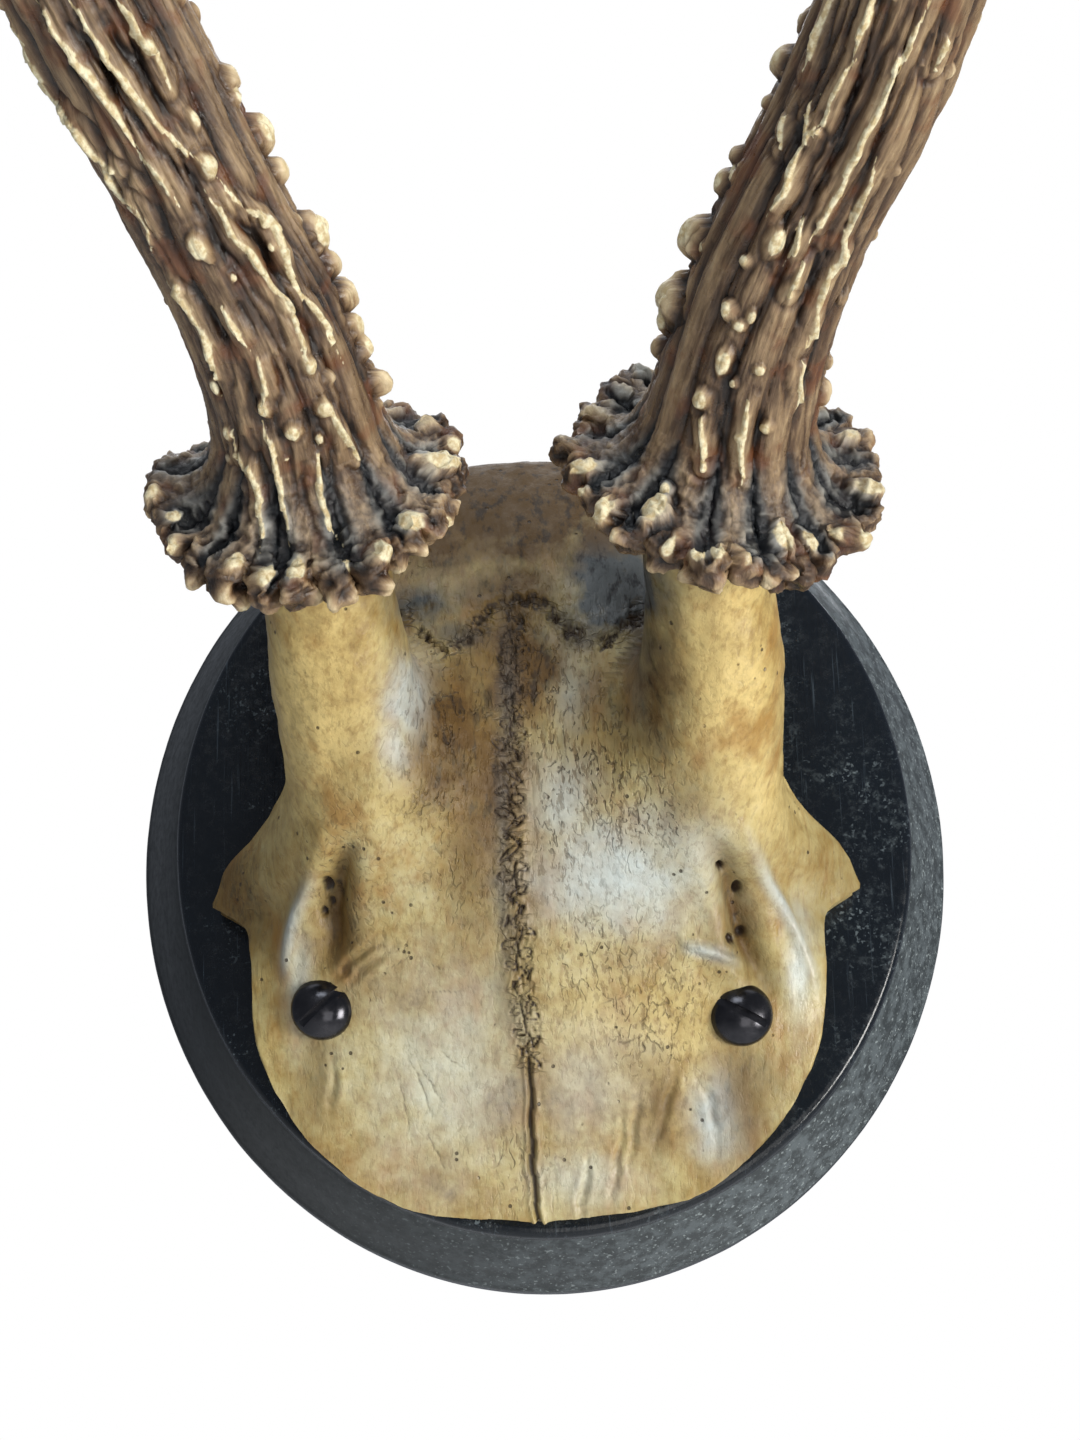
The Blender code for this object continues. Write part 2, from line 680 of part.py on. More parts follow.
def build_plaque(materials):
    """The oval board with its bevel, the hanger's recess, the nail's pocket and the two pilot holes."""
    thick = PLAQUE_THICKNESS
    profile = (
        (PLAQUE_WIDTH, 0),
        (ARRIS, 0),
        (0, ARRIS),
        (0, EDGE_HEIGHT),
        (ARRIS, EDGE_HEIGHT + ARRIS),
        (BEVEL_WIDTH * 0.5, EDGE_HEIGHT + 0.58 * (BEVEL_TOP - EDGE_HEIGHT)),
        (BEVEL_WIDTH, BEVEL_TOP),
        (BEVEL_WIDTH + 0.3 * MM, thick - 0.5 * MM),
        (BEVEL_WIDTH + 1.1 * MM, thick),
        (PLAQUE_WIDTH, thick),
    )

    def place(angle, row):
        inset, depth = profile[row]
        across = max(PLAQUE_WIDTH / 2 - inset, 0)
        up = max(PLAQUE_HEIGHT / 2 - inset, 0)
        return across * math.cos(angle), -depth, up * math.sin(angle)

    plaque = new_object("plaque", wrapped(PLAQUE_SIDES, len(profile) - 1, place))
    recess = cutter_box(
        (HANGER_WIDTH + 2 * GAP, 2 * (HANGER_THICKNESS + GAP), HANGER_LENGTH + 2 * GAP), (0, 0, HANGER_HEIGHT)
    )
    pocket = keyhole(-1 * MM, NAIL_POCKET_DEPTH, KEYHOLE_RADIUS + 0.6 * MM, KEYHOLE_SLOT + 2 * MM)
    combine(plaque, [recess, pocket] + [screw_hole(place) for place in SCREWS.values()], "DIFFERENCE")
    finish(plaque, materials["ebonised_wood"], 30)

    plate_place = (0, -HANGER_THICKNESS / 2, HANGER_HEIGHT)
    hanger = cutter_box((HANGER_WIDTH, HANGER_THICKNESS, HANGER_LENGTH), plate_place)
    hanger.name = "hanger_plate"
    combine(hanger, [keyhole(-1 * MM, 3 * MM, KEYHOLE_RADIUS, KEYHOLE_SLOT)], "DIFFERENCE")
    finish(hanger, materials["brass"], 30)


def build_antler(side_name, antler, material):
    side = antler["side"]
    line = beam_line(antler)
    front = tine_line(antler, FRONT_TINE)
    rear = tine_line(antler, REAR_TINE)
    front_radius = tine_radius(FRONT_TINE)
    rear_radius = tine_radius(REAR_TINE)

    build_burr("burr_" + side_name, antler, material)
    lower = new_object(
        "lower_beam_" + side_name,
        rod(line, side, BURR_TOP + GAP, FIRST_CUT - GAP / 2, BEAM_SPACING, LOWER_BEAM_SIDES, beam_radius),
    )
    stub_end = TINE_STUB - GAP / 2
    stub = rod(front, side, 0, stub_end, TINE_SPACING, FRONT_TINE_SIDES, front_radius, False)
    combine(lower, [new_object("stub", stub)] + pearls(antler, line), "UNION")
    upper_end = SECOND_CUT - GAP / 2
    upper = new_object(
        "upper_beam_" + side_name,
        rod(line, side, FIRST_CUT + GAP / 2, upper_end, BEAM_SPACING, UPPER_BEAM_SIDES, beam_radius),
    )
    stub = rod(rear, side, 0, stub_end, TINE_SPACING, REAR_TINE_SIDES, rear_radius, False)
    combine(upper, [new_object("stub", stub)], "UNION")
    tips = (
        ("top_tine_", line, SECOND_CUT, ANTLER_LENGTH, FRONT_TINE_SIDES, beam_radius),
        ("front_tine_", front, TINE_STUB, FRONT_TINE["length"], FRONT_TINE_SIDES, front_radius),
        ("rear_tine_", rear, TINE_STUB, REAR_TINE["length"], REAR_TINE_SIDES, rear_radius),
    )
    for name, path, start, end, sides, radius in tips:
        tip = rod(path, side, start + GAP / 2, end, TINE_SPACING, sides, radius, False)
        finish(new_object(name + side_name, tip), material)
    for obj in (lower, upper):
        finish(obj, material)


def main():
    clear_scene()
    materials = make_materials()
    build_plaque(materials)
    build_skull(materials["bone"])
    for name, place in SCREWS.items():
        build_screw("screw_" + name, place, materials["dark_steel"])
    for name, antler in ANTLERS.items():
        build_pedicle("pedicle_" + name, antler, materials["bone"])
        build_antler(name, antler, materials["antler"])


main()
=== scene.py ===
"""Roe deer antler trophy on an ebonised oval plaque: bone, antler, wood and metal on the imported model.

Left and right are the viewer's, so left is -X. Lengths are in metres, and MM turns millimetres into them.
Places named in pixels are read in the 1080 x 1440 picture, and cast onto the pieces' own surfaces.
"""

import math

import bmesh
import bpy
import numpy as np
from mathutils import Matrix, Vector


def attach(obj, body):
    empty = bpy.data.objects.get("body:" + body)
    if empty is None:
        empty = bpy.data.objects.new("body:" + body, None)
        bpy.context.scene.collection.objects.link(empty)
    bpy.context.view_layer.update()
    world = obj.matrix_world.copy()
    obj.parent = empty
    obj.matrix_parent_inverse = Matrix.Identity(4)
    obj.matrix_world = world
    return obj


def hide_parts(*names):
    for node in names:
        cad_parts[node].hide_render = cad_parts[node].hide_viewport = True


bl_info = {
    "name": "Roe Deer Antler Trophy",
    "version": (1, 0, 0),
    "blender": (4, 5, 0),
    "location": "3D View > Sidebar > Trophy",
    "description": "Builds a roe buck's skull cap and antlers on an oval plaque",
    "category": "Object",
}

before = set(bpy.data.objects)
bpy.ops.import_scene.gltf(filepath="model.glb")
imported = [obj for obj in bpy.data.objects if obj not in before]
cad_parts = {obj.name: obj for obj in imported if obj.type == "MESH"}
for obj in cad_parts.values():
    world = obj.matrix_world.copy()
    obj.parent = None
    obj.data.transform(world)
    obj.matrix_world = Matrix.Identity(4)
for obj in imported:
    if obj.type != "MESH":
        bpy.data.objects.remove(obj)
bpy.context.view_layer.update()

MM = 0.001
BODY = "root"
SIDES = ("left", "right")

# The camera: focal length and frame in pixels, place, and the angles that it is tipped up and rolled by
PICTURE_WIDTH = 1080
PICTURE_HEIGHT = 1440
FOCAL_PIXELS = 2552
SENSOR = 36
CAMERA_PLACE = np.array((0, -346.6, -78.6)) * MM
CAMERA_TILT = math.radians(16)
CAMERA_ROLL = math.radians(1.75)

# The plaque, and what is cut into its back for the hanger
PLAQUE_WIDTH = 110 * MM
PLAQUE_HEIGHT = 117.2 * MM
PLAQUE_THICKNESS = 16 * MM
HANGER_WIDTH = 12.6 * MM
HANGER_LENGTH = 34.6 * MM
HANGER_RECESS = 1.8 * MM
HANGER_HEIGHT = 36 * MM
NAIL_POCKET_DEPTH = 5 * MM
NAIL_POCKET_WIDTH = 8 * MM
NAIL_POCKET_LENGTH = 18 * MM

# The skull cap: its rim's right half as half width, height and depth from the wall, and its midline
SKULL_BACK = 16.3 * MM
CAP_RIM = (
    (0, -49.1, 20.3),
    (17, -47.0, 20.6),
    (26.3, -41.6, 22.0),
    (32.3, -34.5, 23.6),
    (36.0, -25.5, 25.0),
    (36.6, -16.0, 25.6),
    (37.6, -10.8, 24.0),
    (42.4, -7.3, 20.6),
    (40.4, -3.0, 22.6),
    (36.6, 0.4, 25.8),
    (33.0, 4.2, 29.0),
    (30.0, 12, 31.0),
    (29.0, 26, 28.0),
    (27.0, 38, 24.5),
    (19.4, 47.5, 22.5),
    (9.5, 51.6, 21.5),
    (0, 52.5, 21.3),
)
RIM_TIP = 7
CAP_SHIFT = np.array((-1.2, -1.8)) * MM
CAP_CENTRE_HEIGHT = -2 * MM
MIDLINE_HEIGHTS = (-50, -42, -30, -20, 0, 12, 24, 52)
MIDLINE_DEPTHS = (22.0, 25.5, 29.5, 32.3, 38.0, 39.6, 40.0, 40.0)
PEDICLE_RISE = 10 * MM
PEDICLE_RISE_SPREAD = 14 * MM
PEDICLE_RISE_PLACE = (23 * MM, 6 * MM)
CORONAL_SUTURE = 22.7 * MM
# Depth counts a quarter in a mark's distance from its path
FLATTENED = np.array((1, 0.25, 1))
# Of the bone's marks, the stain mark holds stains and painted shade, pale is painted glare, warm is partly
# painted light, and groove darkens lines and holes with painted shade.
BONE_MARKS = ("groove", "stain_and_shade", "soot", "pale", "suture", "rough", "warm")
# How widely pedicle and skull melt together, and how far each dives under the other there
MELT_WIDTH = 4.5 * MM
DIVE_DEPTH = 0.3 * MM
DIVE_WIDTH = 1.5 * MM

# Pedicles, burrs and beams, with distances along the beam from the middle of the burr
PEDICLE_RADIUS = 7.9 * MM
PEDICLE_FOOT_RADIUS = 8.8 * MM
PEDICLE_TOP_RADIUS = 8.7 * MM
BURR_UNDERSIDE = 3.4 * MM
FLARE_TOP = 10.5 * MM
RIDGES = 13
RIDGE_HEIGHT = 0.85 * MM
RIDGE_MEAN = 0.76
RIDGE_FADE = ((3, 0), (10, 1), (70, 1), (130, 0.75), (180, 0.4), (215, 0.05))
BEAM_TURN_FROM_WALL = ((0, 58), (10, 58), (18, 55), (98, 53), (124, 32), (158, 30), (182, 44), (218, 50))
BEAM_RADII = (
    (0, 10.8),
    (9, 10),
    (20, 9.1),
    (36, 8.5),
    (66, 8.4),
    (98, 8.0),
    (118, 7.1),
    (156, 6),
    (186, 4.6),
    (218, 0.6),
)
FIRST_FORK = 100 * MM
SECOND_FORK = 156 * MM
FIRST_CUT = 118 * MM
SECOND_CUT = 172 * MM
ANTLER_LENGTH = 218 * MM
FRONT_TINE = {"fork": FIRST_FORK, "length": 54 * MM, "root": 5.7 * MM, "turn": (98, 62), "lean": 9}
REAR_TINE = {"fork": SECOND_FORK, "length": 40 * MM, "root": 4.8 * MM, "turn": (-24, 4), "lean": 12}
ANTLERS = {
    "left": {
        "side": -1,
        "seed": 11,
        "burr": (-26.2, -64.0, 30.7),
        "foot": (-24.3, -46.2, 14.6),
        "lean": ((0, 4), (10, 4), (20, 13), (34, 21), (59, 21), (100, 17), (130, 10), (160, 2), (218, -12)),
        "ruffle": 0.9,
    },
    "right": {
        "side": 1,
        "seed": 47,
        "burr": (21.9, -64.0, 30.8),
        "foot": (21.4, -46.4, 14.1),
        "lean": (
            (0, 8), (10, 8), (20, 12), (32, 20), (44, 26), (60, 16), (100, 16), (130, 9), (160, 1),
            (218, -13),
        ),
        "ruffle": 2.6,
    },
}

# The screws: place on the skull in mm, and the slot's turn seen from the front in degrees
SCREWS = {"left": (-28.5, -24.1, 40), "right": (24.2, -26.4, -28)}
HEAD_RADIUS = 4 * MM
HEAD_HEIGHT = 3 * MM
HEAD_EDGE = 0.5 * MM
SEAT_DEPTH = 1 * MM
SEAT_GAP = 0.3 * MM
SLOT_WIDTH = 0.95 * MM
SLOT_DEPTH = 1.2 * MM
WORN_EDGE = 0.15 * MM

# The marks of the antlers' finish, hollow being where shade is painted into the burr's dished flare, and
# how often a pearl is tried where the picture doesn't reach
ANTLER_MARKS = ("crest", "ivory", "hollow")
PEARL_TRIES = 120
# The lower beam is divided more finely up to here
DENSE_BEAM_END = 72 * MM

# Whole numbers that mix a cell's place and the seed into the slopes of the noise
NOISE_MIXERS = np.array((374761393, 668265263, 1274126177), np.uint64)
NOISE_SEED_STEP = 974711

# How finely each skin is divided
ANTLER_COLUMNS = 380
BURR_ROWS = 210
LOWER_BEAM_ROWS = 235
UPPER_BEAM_ROWS = 110
TOP_TINE_ROWS = 75
CAP_COLUMNS = 700
CAP_ROWS = 165
PEDICLE_COLUMNS = 200
PEDICLE_ROWS = 90

# Cream ridges that run down each beam, as pixels from the top of the picture downwards
BEAM_RIDGES = {
    "left": (
        ((5, 15), (26, 46), (46, 82), (69, 115), (89, 143), (107, 163), (122, 194), (143, 219), (156, 255)),
        ((168, 281), (184, 301), (204, 332), (214, 362), (219, 383)),
        ((33, -10), (54, 26), (77, 59), (102, 92), (122, 120), (138, 148), (158, 176), (179, 207)),
        ((64, -10), (87, 26), (107, 61), (130, 89), (151, 115), (171, 138), (189, 153), (204, 163)),
        (
            (204, 189), (219, 212), (235, 240), (255, 258), (265, 276), (281, 296), (291, 311),
            (298, 332), (306, 365),
        ),
        ((112, -5), (128, 20), (138, 36), (148, 43), (163, 69), (168, 89)),
        (
            (219, 179), (237, 202), (255, 214), (265, 219), (276, 237), (286, 265), (298, 293),
            (314, 311), (339, 357),
        ),
        ((258, 357), (263, 383), (264, 402)),
        ((222, 306), (235, 329), (245, 342)),
        ((234, 430), (240, 455), (256, 480), (262, 520), (262, 545)),
        ((262, 420), (274, 455), (283, 500), (290, 540)),
        ((318, 440), (318, 480), (328, 520), (345, 550)),
        ((330, 410), (345, 440), (357, 455)),
    ),
    "right": (
        (
            (935, -10), (911, 38), (893, 74), (883, 102), (867, 133), (852, 163), (837, 194),
            (821, 224), (811, 242),
        ),
        ((803, 263), (797, 278), (791, 290)),
        (
            (877, 158), (867, 184), (852, 212), (844, 235), (839, 260), (826, 278), (819, 301),
            (814, 327), (806, 349),
        ),
        ((803, 362), (798, 383), (796, 405)),
        ((819, 94), (809, 112), (809, 135), (796, 158), (788, 184), (775, 204), (765, 217)),
        ((857, 59), (844, 77), (832, 102), (821, 125), (809, 143)),
        ((788, 115), (781, 143)),
        ((803, 217), (796, 242), (786, 263)),
        ((948, 36), (938, 56), (931, 70)),
        ((840, -10), (822, 30), (806, 70)),
        ((880, -10), (866, 24), (857, 50)),
        ((702, 415), (704, 440), (706, 470)),
        ((748, 400), (742, 440), (741, 480)),
    ),
}

# Pearls and knobs: pixel place, radius in pixels, how much longer they are along the beam, and how ivory
BEAM_PEARLS = {
    "left": (
        (200, 246, 11, 1.6, 1), (233, 278, 5, 1.2, 1), (272, 246, 5, 1.2, 1), (265, 219, 8, 1.4, 0.9),
        (209, 166, 12, 1.3, 1), (148, 43, 11, 1.6, 0.9), (194, 118, 7, 1.8, 0.8),
        (260, 265, 8, 1.7, 1), (288, 304, 9, 1.5, 1), (309, 366, 9, 1.1, 1), (264, 408, 9, 1.2, 1),
        (324, 408, 11, 1.0, 0.9), (294, 432, 10, 1.0, 1), (320, 438, 7, 1.0, 1),
        (285, 458, 4, 1.0, 0.9), (215, 386, 7, 1.7, 0.9), (228, 431, 6, 1.7, 0.8),
        (230, 458, 6, 1.0, 0.6), (178, 290, 6, 1.3, 0.8), (226, 76, 15, 1.0, 0.6),
        (262, 128, 19, 1.1, 1), (285, 166, 13, 1.0, 0.5), (314, 234, 18, 1.3, 1),
        (333, 262, 16, 1.0, 0.3), (346, 293, 19, 1.0, 0.4), (360, 321, 13, 1.2, 0.9),
        (376, 342, 13, 1.0, 0.8), (388, 378, 12, 1.0, 0.3), (330, 378, 8, 1.0, 0.1),
    ),
    "right": (
        (777, 240, 11, 1.9, 1), (746, 260, 8, 1.0, 1), (728, 310, 10, 1.1, 1), (740, 324, 8, 1.0, 0.8),
        (724, 362, 10, 1.8, 1), (735, 382, 6, 1.0, 1), (759, 371, 7, 1.0, 1), (702, 400, 11, 1.3, 0.9),
        (766, 428, 8, 1.1, 1), (739, 437, 5, 1.0, 0.8), (752, 316, 7, 1.5, 0.8),
        (667, 489, 9, 1.0, 0.9), (820, 224, 5, 1.3, 0.8), (766, 50, 17, 1.0, 0.5),
        (768, 102, 8, 1.0, 0.4), (738, 156, 12, 1.0, 0.3), (725, 180, 15, 1.0, 0.7),
        (684, 232, 24, 1.0, 0.6), (654, 292, 26, 1.0, 0.5), (664, 316, 17, 1.0, 0.8),
        (652, 345, 13, 1.0, 0.3), (644, 376, 15, 1.0, 0.2), (950, 71, 7, 1.2, 0.3),
        (898, 172, 5, 1.2, 0.2), (842, 297, 7, 1.3, 0.2), (828, 362, 7, 1.2, 0.2),
        (846, 290, 4, 1.0, 0.2),
    ),
}
BURR_KNOBS = {
    "left": (
        (172, 518, 8, 1.0, 0.9), (174, 547, 9, 1.0, 0.9), (150, 496, 9, 1.0, 0.7),
        (237, 568, 9, 1.0, 0.9), (260, 576, 10, 1.3, 1), (294, 573, 11, 1.3, 1), (348, 565, 6, 1.5, 1),
        (381, 554, 13, 1.0, 1), (411, 526, 14, 1.0, 1), (444, 514, 9, 1.0, 1), (436, 466, 17, 1.0, 1),
        (452, 446, 9, 1.0, 0.8), (429, 425, 9, 1.0, 0.3), (403, 388, 9, 1.0, 0.3),
        (387, 378, 8, 1.0, 0.3), (190, 583, 9, 1.0, 0.3), (222, 597, 11, 1.0, 0.4),
        (244, 606, 9, 1.0, 0.5), (286, 600, 8, 1.0, 0.2), (315, 596, 8, 1.0, 0.4),
        (335, 603, 8, 1.0, 0.2), (352, 600, 8, 1.0, 0.3), (362, 589, 9, 1.0, 0.5),
        (386, 584, 9, 1.0, 0.3), (404, 576, 9, 1.0, 0.4), (420, 551, 9, 1.0, 0.2),
    ),
    "right": (
        (584, 468, 11, 1.2, 1), (583, 494, 7, 1.0, 0.9), (606, 508, 13, 1.4, 1),
        (656, 516, 15, 1.0, 1), (672, 545, 8, 1.4, 0.9), (700, 558, 9, 1.0, 1), (719, 556, 9, 1.2, 1),
        (742, 560, 9, 1.0, 0.6), (778, 540, 11, 1.4, 1), (808, 540, 11, 1.0, 1),
        (841, 534, 9, 1.0, 0.7), (866, 490, 11, 1.5, 0.9), (860, 535, 10, 1.2, 0.8),
        (617, 538, 9, 1.0, 0.4), (654, 570, 9, 1.0, 0.3), (684, 577, 9, 1.0, 0.2),
        (715, 579, 10, 1.0, 0.3), (769, 577, 9, 1.0, 0.3), (793, 572, 9, 1.0, 0.3),
        (826, 564, 9, 1.0, 0.4), (565, 444, 9, 1.0, 0.3), (597, 414, 11, 1.0, 0.1),
        (622, 394, 9, 1.0, 0.1), (841, 393, 9, 1.0, 0.3), (848, 440, 9, 1.0, 0.5),
    ),
}

# Marks on the skull, in pixels
MIDLINE_SUTURE = ((516, 608), (512, 690), (510, 760), (512, 840), (516, 920), (522, 990), (530, 1062))
MIDLINE_CRACK = ((530, 1062), (531, 1110), (532, 1160), (536, 1200), (540, 1226))
CORONAL_LINE = (
    (402, 610), (430, 648), (462, 640), (500, 606), (545, 605), (572, 632), (612, 640), (640, 610),
)
SKULL_HOLLOWS = (
    ((352, 842), (340, 872), (331, 908), (333, 934), (322, 956)),
    ((702, 836), (724, 868), (738, 905), (746, 940), (760, 970), (776, 998)),
)
SKULL_GROOVES = (
    ((380, 936), (362, 950), (340, 972), (322, 985)),
    ((395, 948), (372, 962), (345, 985)),
    ((664, 946), (690, 950), (722, 962), (756, 972)),
    ((690, 936), (720, 950), (750, 962)),
    ((677, 1065), (668, 1100), (655, 1150)),
    ((625, 1120), (618, 1160), (612, 1200)),
    ((345, 970), (362, 958), (381, 942)),
    ((335, 1060), (333, 1085), (330, 1110)),
    ((590, 1160), (584, 1190), (580, 1215)),
    ((640, 1090), (634, 1130), (628, 1170)),
    ((700, 1080), (712, 1110), (716, 1150)),
)
SKULL_CRACKS = (
    ((372, 978), (400, 962), (428, 950)),
    ((400, 962), (405, 948), (412, 940)),
    ((415, 958), (440, 968), (462, 972)),
    ((405, 990), (440, 992), (476, 990)),
    ((398, 1040), (420, 1080), (436, 1130)),
    ((410, 1050), (432, 1085), (452, 1118)),
    ((392, 1060), (404, 1100), (412, 1146)),
    ((430, 1040), (452, 1060), (474, 1076)),
    ((420, 1120), (436, 1150), (450, 1180)),
    ((590, 1010), (612, 1000), (640, 996)),
    ((600, 1040), (625, 1042), (650, 1034)),
    ((690, 1000), (676, 1030), (668, 1056)),
)
SKULL_FORAMINA = (
    (327, 884, 7),
    (330, 898, 6),
    (323, 909, 5),
    (738, 886, 7),
    (731, 898, 5),
    (742, 928, 8),
    (731, 938, 6),
    (720, 866, 5),
)
SKULL_RIDGES = (
    ((735, 822), (750, 850), (764, 880), (780, 908), (796, 938), (810, 970), (818, 1010)),
    ((318, 870), (300, 910), (290, 950), (286, 985)),
    ((676, 944), (705, 950), (745, 964)),
)

# Stains, soot, rough, warm and pale patches of the bone: pixel place, half width and height in pixels, and
# strength. Some stains are painted shade, on the left orbital tip, down the pedicles' left sides and in the
# valley beside the left pedicle; the pale patches are painted glare; the warm ones are partly the pedicles'
# own yellow and partly painted light on their fronts.
BONE_SPOTS = {
    "stain_and_shade": (
        (520, 490, 110, 76, 1.6), (440, 545, 50, 40, 1.0), (600, 545, 50, 45, 1.1),
        (516, 590, 60, 40, 0.9), (516, 660, 58, 90, 1.1), (495, 770, 48, 110, 0.95),
        (455, 730, 48, 100, 1.0), (470, 860, 34, 90, 0.6), (440, 800, 50, 50, 0.35),
        (655, 690, 34, 80, 0.85), (590, 720, 70, 60, 0.6), (514, 930, 16, 120, 0.6),
        (532, 1130, 10, 90, 0.4), (345, 930, 28, 60, 0.6), (737, 930, 24, 60, 0.6),
        (318, 1080, 18, 60, 0.55), (300, 1130, 30, 40, 0.4), (660, 1110, 14, 50, 0.45),
        (235, 900, 46, 70, 0.85), (262, 700, 14, 130, 0.6), (258, 800, 20, 60, 0.5),
        (712, 600, 10, 80, 0.3), (840, 880, 50, 60, 0.35), (745, 1095, 34, 56, 0.75),
        (820, 900, 34, 50, 0.35), (352, 760, 20, 60, 0.3), (690, 790, 30, 60, 0.45),
        (780, 1080, 16, 40, 0.35), (640, 1060, 40, 20, 0.25), (400, 640, 16, 40, 0.4),
    ),
    "soot": (
        (425, 602, 40, 26, 0.9), (455, 630, 30, 18, 0.6), (618, 590, 40, 36, 2.0),
        (585, 625, 34, 20, 0.7), (642, 640, 20, 34, 0.5), (503, 830, 9, 130, 0.5),
        (507, 700, 12, 90, 0.5),
    ),
    "rough": (
        (590, 770, 60, 60, 1.2), (640, 820, 40, 40, 0.9), (545, 710, 40, 90, 1.0),
        (560, 860, 40, 60, 0.8), (450, 740, 50, 90, 0.9), (480, 850, 40, 70, 0.7),
        (600, 960, 60, 60, 0.6), (650, 1010, 50, 70, 0.7), (410, 560, 20, 20, 0.8),
        (520, 1150, 30, 60, 0.5), (240, 900, 30, 60, 0.4), (345, 900, 30, 80, 0.5),
    ),
    "warm": (
        (310, 690, 60, 130, 1.3), (735, 670, 50, 120, 1.3), (770, 790, 34, 60, 0.7),
        (650, 1040, 90, 60, 0.5), (390, 810, 40, 40, 0.4),
    ),
    "pale": (
        (620, 875, 85, 60, 1.0), (560, 800, 40, 50, 0.8), (410, 700, 22, 38, 1.5),
        (395, 745, 16, 30, 0.8), (690, 850, 40, 40, 0.6), (448, 1070, 85, 110, 0.5),
        (590, 1080, 60, 70, 0.4), (716, 1115, 24, 40, 1.1), (800, 965, 12, 60, 0.9),
        (300, 990, 14, 60, 0.6), (640, 690, 10, 30, 0.4), (570, 700, 18, 40, 0.6),
        (580, 1180, 60, 30, 0.5),
    ),
}

# The area lights: place, aim, size, power and colour
MIDDLE = (0, -0.04, 0)
WARM_WHITE = (1.0, 0.98, 0.94)
COOL_WHITE = (0.95, 0.97, 1.0)
LIGHTS = {
    "window": ((0.95, -0.8, -0.3), MIDDLE, 0.42, 15, WARM_WHITE),
    "front": ((-0.1, -1.1, 0.95), MIDDLE, 0.5, 7, (0.9, 0.96, 1.0)),
    "low": ((0.25, -1.2, -0.4), MIDDLE, 0.5, 2, WARM_WHITE),
    "back": ((0.1, 1.5, 0.9), MIDDLE, 1.0, 10, COOL_WHITE),
    "room": ((0, 0.4, 2.4), (0, 0.4, 0), 3, 40, COOL_WHITE),
}
FLOOR_HEIGHT = -0.9
SKY_COLOUR = (0.8, 0.87, 1.0, 1)
SKY_STRENGTH = 0.24

# Tones that the materials mix, beside the ones that the panel can change
TONES = {
    "amber": (0.16, 0.05, 0.014),
    "burr_shade": (0.01, 0.013, 0.016),
    "burr_grey": (0.34, 0.34, 0.31),
    "ivory_tan": (0.56, 0.43, 0.22),
    "ivory_pale": (0.82, 0.74, 0.5),
    "bone_yellow": (0.72, 0.54, 0.21),
    "bone_orange": (0.31, 0.15, 0.028),
    "bone_fibre": (0.26, 0.14, 0.032),
    "bone_speck": (0.14, 0.08, 0.024),
    "glare_white": (0.58, 0.65, 0.64),
    "white_speck": (0.16, 0.16, 0.13),
    "stain_and_shade": (0.098, 0.05, 0.009),
    "stain_and_shade_fleck": (0.035, 0.018, 0.004),
    "soot": (0.07, 0.078, 0.08),
    "soot_fleck": (0.006, 0.006, 0.007),
    "sunk_shade": (0.03, 0.017, 0.008),
    "ebony_blue": (0.007, 0.011, 0.016),
    "scratch": (0.06, 0.08, 0.1),
    "face_dust_and_light": (0.08, 0.1, 0.11),
    "face_speck": (0.18, 0.22, 0.24),
    "bevel_shade": (0.002, 0.003, 0.003),
    "bevel_grey": (0.01, 0.013, 0.013),
    "bevel_dust_and_light": (0.095, 0.112, 0.118),
    "bevel_speck_and_highlight": (0.3, 0.34, 0.34),
    "steel_dark": (0.007, 0.008, 0.012),
    "steel_worn": (0.07, 0.068, 0.074),
    "brass_dark": (0.5, 0.32, 0.1),
    "brass_bright": (0.72, 0.52, 0.22),
    "floor": (0.86, 0.86, 0.85),
}


def unit(vectors):
    return vectors / np.maximum(np.linalg.norm(vectors, axis=-1, keepdims=True), 1e-12)


def ramp(values, low, high):
    """0 below low, 1 above high, and smooth between."""
    share = np.clip((values - low) / (high - low), 0, 1)
    return share * share * (3 - 2 * share)


def camera_axes():
    """The camera's right, up and forward directions."""
    forward = np.array((0, math.cos(CAMERA_TILT), math.sin(CAMERA_TILT)))
    level = np.array((1.0, 0, 0))
    upright = np.cross(level, forward)
    right = math.cos(CAMERA_ROLL) * level - math.sin(CAMERA_ROLL) * upright
    up = math.sin(CAMERA_ROLL) * level + math.cos(CAMERA_ROLL) * upright
    return right, up, forward


def in_picture(points):
    """The pixel places of points, and their distances in front of the camera."""
    right, up, forward = camera_axes()
    offset = points - CAMERA_PLACE
    away = offset @ forward
    across = PICTURE_WIDTH / 2 + FOCAL_PIXELS * (offset @ right) / away
    down = PICTURE_HEIGHT / 2 - FOCAL_PIXELS * (offset @ up) / away
    return np.stack((across, down), -1), away


def noise(points, seed):
    """Smooth gradient noise, about -1 to 1, of points given in cells."""
    cell = np.floor(points).astype(np.int64)
    inside = points - cell
    weight = inside * inside * inside * (inside * (inside * 6 - 15) + 10)
    total = np.zeros(points.shape[:-1])
    for corner in range(8):
        step = np.array((corner & 1, corner >> 1 & 1, corner >> 2 & 1))
        place = (cell + step).astype(np.uint64)
        mixed = place @ NOISE_MIXERS + seed * NOISE_SEED_STEP
        mixed = (mixed ^ (mixed >> 13)) * 1103515245 & 0xFFFFFFFF
        mixed = (mixed ^ (mixed >> 16)) * 69069 & 0xFFFFFFFF
        slopes = np.stack([(mixed >> shift & 1023) / 511.5 - 1 for shift in (2, 12, 22)], -1)
        share = np.where(step, weight, 1 - weight).prod(-1)
        total += share * ((inside - step) * slopes).sum(-1)
    return total * 1.6


def layered(points, seed, octaves):
    total = np.zeros(points.shape[:-1])
    for octave in range(octaves):
        total += noise(points * 2**octave, seed + octave) / 2**octave
    return total


